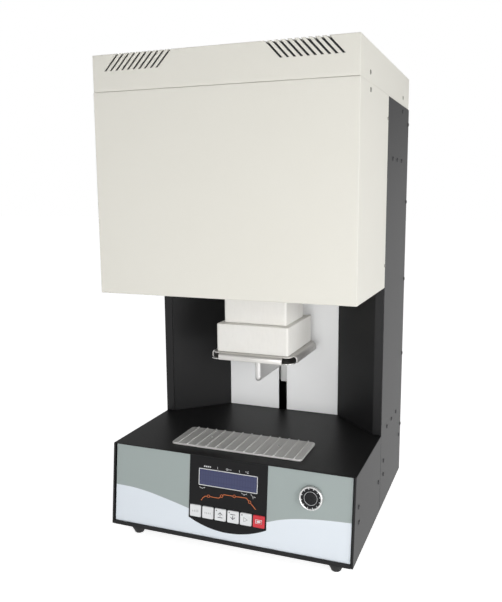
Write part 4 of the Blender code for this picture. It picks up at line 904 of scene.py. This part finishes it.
def side_places(spots, x=HALF_WIDTH):
    return [((side * x, y, z), (side, 0, 0)) for side in (-1, 1) for y, z in spots]


def make_body_screws():
    screws("cap_side_screws", side_places([(-0.1267, 0.6780), (0.1235, 0.6775)], 0.1893), ZINC,
           radius=0.0032)
    screws("cabinet_side_screws", side_places([(-0.1262, 0.6562)]), ZINC, radius=0.0034)
    screws("cabinet_edge_studs", side_places([(-0.0048, 0.6325), (-0.0048, 0.4170)]), ZINC,
           radius=0.0024)
    edge = [(0.1785, z) for z in (0.6400, 0.5100, 0.3760, 0.2420, 0.1100)]
    rows = [(0.044, 0.577), (0.084, 0.577), (0.124, 0.577), (0.131, 0.1470), (0.089, 0.1475),
            (0.049, 0.1475)]
    low = [(0.1660, 0.0933), (0.0244, 0.0979), (0.0262, 0.0743), (0.1232, 0.6556)]
    screws("tower_side_screws", side_places(edge + rows + low), MOULDED,
           radius=0.0034, height=0.0014)
    screws("base_side_screws",
           side_places([(-0.1508, 0.0985), (-0.1478, 0.0747), (-0.0138, 0.0766)]), MOULDED,
           radius=0.0034, height=0.0014)
    rear = 0.1765
    spots = [(s * 0.181, z) for s in (-1, 1) for z in (0.034, 0.190, 0.345, 0.500, 0.652)]
    spots += [(s * 0.060, z) for s in (-1, 1) for z in (0.034, 0.652)]
    screws("rear_panel_screws", [((x, rear, z), (0, 1, 0)) for x, z in spots], MOULDED)
    fan = [(0.115 + a * 0.0355, 0.086 + b * 0.0355) for a in (-1, 1) for b in (-1, 1)]
    screws("fan_screws", [((x, rear, z), (0, 1, 0)) for x, z in fan], ZINC, radius=0.0032,
           height=0.0016)


def make_vent_shade_sheets():
    """Dark sheets close behind the slanted slots of the cap: painted shade inside the slots."""
    bm = bmesh.new()
    front, top = FRONT_Y + 0.0036, TOP_Z - 0.0030
    profile = [(front, top - 0.030), (front, top), (front + 0.016, top),
               (front + 0.016, top - 0.0008), (front + 0.0008, top - 0.0008),
               (front + 0.0008, top - 0.030)]
    for side in (-1, 1):
        near, far = sorted((side * 0.060, side * 0.180))
        bridge(bm, [[Vector((x, y, z)) for y, z in profile] for x in (near, far)])
    # Near-black sheets that paint the shade inside the vent slots.
    build("vent_shade_sheets", bm, [MOULDED], "furnace", smooth=20)


make_feet()
make_body_screws()
make_vent_shade_sheets()


# Floor, light and camera
FLOOR_HALF, FLOOR_WHITE, FLOOR_GLOW = 12.0, 0.93, 0.80
ROOM_FILL, ROOM_LOW, ROOM_HIGH, ROOM_SOFTENS_AT = 0.26, 1.0, 0.42, 0.16


def largest(tree, first, second):
    """The larger of two node outputs."""
    made = tree.nodes.new("ShaderNodeMath")
    made.operation = "MAXIMUM"
    tree.links.new(first, made.inputs[0])
    tree.links.new(second, made.inputs[1])
    return made.outputs[0]


def seen_rays(tree):
    """Light path node, and an output that is 1 for camera, glossy and transmission rays."""
    path = tree.nodes.new("ShaderNodeLightPath")
    seen = largest(tree, path.outputs["Is Camera Ray"], path.outputs["Is Glossy Ray"])
    return path, largest(tree, seen, path.outputs["Is Transmission Ray"])


def make_floor():
    """Pale floor that shows as white where no shadow falls on it."""
    bm = bmesh.new()
    corners = ((-1, -1), (1, -1), (1, 1), (-1, 1))
    bm.faces.new([bm.verts.new((FLOOR_HALF * u, FLOOR_HALF * v, 0)) for u, v in corners])
    mesh = bpy.data.meshes.new("floor")
    bm.to_mesh(mesh)
    bm.free()
    floor = bpy.data.objects.new("floor", mesh)
    scene.collection.objects.link(floor)
    mat = bpy.data.materials.new("floor_white")
    mat.use_nodes = True
    tree = mat.node_tree
    shader = tree.nodes["Principled BSDF"]
    shader.inputs["Base Color"].default_value = (FLOOR_WHITE, FLOOR_WHITE, FLOOR_WHITE, 1)
    shader.inputs["Roughness"].default_value = 0.9
    shader.inputs["Specular IOR Level"].default_value = 0.1
    glow = tree.nodes.new("ShaderNodeMath")
    glow.operation = "MULTIPLY"
    glow.inputs[1].default_value = FLOOR_GLOW
    tree.links.new(seen_rays(tree)[1], glow.inputs[0])
    shader.inputs["Emission Color"].default_value = (1, 1, 1, 1)
    tree.links.new(glow.outputs[0], shader.inputs["Emission Strength"])
    mesh.materials.append(mat)


def blend_level(tree, factor, base, other):
    """Number node between two levels, each a number or an output."""
    made = tree.nodes.new("ShaderNodeMix")
    made.data_type = "FLOAT"
    tree.links.new(factor, made.inputs["Factor"])
    for socket, value in ((made.inputs[2], base), (made.inputs[3], other)):
        if isinstance(value, float):
            socket.default_value = value
        else:
            tree.links.new(value, socket)
    return made.outputs[0]


def make_world():
    """Soft even room, white for the camera and a light-to-grey wall for reflections."""
    world = bpy.data.worlds.new("studio")
    scene.world = world
    world.use_nodes = True
    tree = world.node_tree
    back = tree.nodes["Background"]
    path, seen = seen_rays(tree)
    place = tree.nodes.new("ShaderNodeTexCoord")
    split = tree.nodes.new("ShaderNodeSeparateXYZ")
    tree.links.new(place.outputs["Generated"], split.inputs[0])
    room = tree.nodes.new("ShaderNodeMapRange")
    room.inputs["From Max"].default_value = ROOM_SOFTENS_AT
    room.inputs["To Min"].default_value = ROOM_LOW
    room.inputs["To Max"].default_value = ROOM_HIGH
    tree.links.new(split.outputs["Z"], room.inputs["Value"])
    level = blend_level(tree, seen, ROOM_FILL, room.outputs["Result"])
    level = blend_level(tree, path.outputs["Is Camera Ray"], level, 1.0)
    back.inputs["Color"].default_value = (1, 1, 1, 1)
    tree.links.new(level, back.inputs["Strength"])


# Each lamp: name, place, target, size, power and spread in degrees
MIDDLE = (0, 0, 0.35)
LAMPS = (
    ("front_low", (0.35, -2.0, 0.20), (0, 0, 0.20), 0.9, 2.2, 60),
    ("front_wide", (0.6, -2.8, 0.5), MIDDLE, 1.6, 6.5, 180),
    ("key_right", (2.0, -1.25, 0.40), (0, 0, 0.28), 1.4, 29, 180),
    ("side_right", (2.6, 0.4, 0.6), MIDDLE, 1.6, 13, 180),
    ("fill_left", (-2.0, -2.0, 0.8), MIDDLE, 1.6, 7, 180),
)


def make_lamp(name, place, target, size, power, spread):
    lamp = bpy.data.lights.new(name, "AREA")
    lamp.shape = "SQUARE"
    lamp.size = size
    lamp.energy = power
    lamp.spread = math.radians(spread)
    obj = bpy.data.objects.new(name, lamp)
    scene.collection.objects.link(obj)
    obj.location = place
    aim = Vector(target) - Vector(place)
    obj.rotation_mode = "QUATERNION"
    obj.rotation_quaternion = aim.to_track_quat("-Z", "Y")


# Camera, solved from the edges in the photograph: place and axes in the world, then the
# focal length and the optical centre in pixels of the picture
CAMERA_PLACE = (0.380112, -1.01051, 0.524798)
CAMERA_RIGHT = (0.9355736, 0.3531131, -0.0036241)
CAMERA_DOWN = (0.0504324, -0.1437641, -0.9883261)
CAMERA_AHEAD = (-0.3495119, 0.9244691, -0.1523102)
PHOTO_WIDTH, PHOTO_HEIGHT = 502.0, 602.0
FOCAL_PIXELS, CENTRE_X, CENTRE_Y = 673.417, 266.365, 297.51
SENSOR = 36.0


def make_camera():
    data = bpy.data.cameras.new("camera")
    data.sensor_width, data.sensor_fit = SENSOR, "AUTO"
    data.lens = FOCAL_PIXELS * SENSOR / PHOTO_HEIGHT
    data.shift_x = (PHOTO_WIDTH / 2 - CENTRE_X) / PHOTO_HEIGHT
    data.shift_y = (CENTRE_Y - PHOTO_HEIGHT / 2) / PHOTO_HEIGHT
    data.clip_start, data.clip_end = 0.05, 60.0
    camera = bpy.data.objects.new("camera", data)
    scene.collection.objects.link(camera)
    matrix = Matrix.Identity(4)
    for row in range(3):
        matrix[row][0] = CAMERA_RIGHT[row]
        matrix[row][1] = -CAMERA_DOWN[row]
        matrix[row][2] = -CAMERA_AHEAD[row]
    matrix.translation = CAMERA_PLACE
    camera.matrix_world = matrix
    scene.camera = camera


make_floor()
make_world()
for lamp_values in LAMPS:
    make_lamp(*lamp_values)
make_camera()
scene.view_settings.view_transform = "Standard"
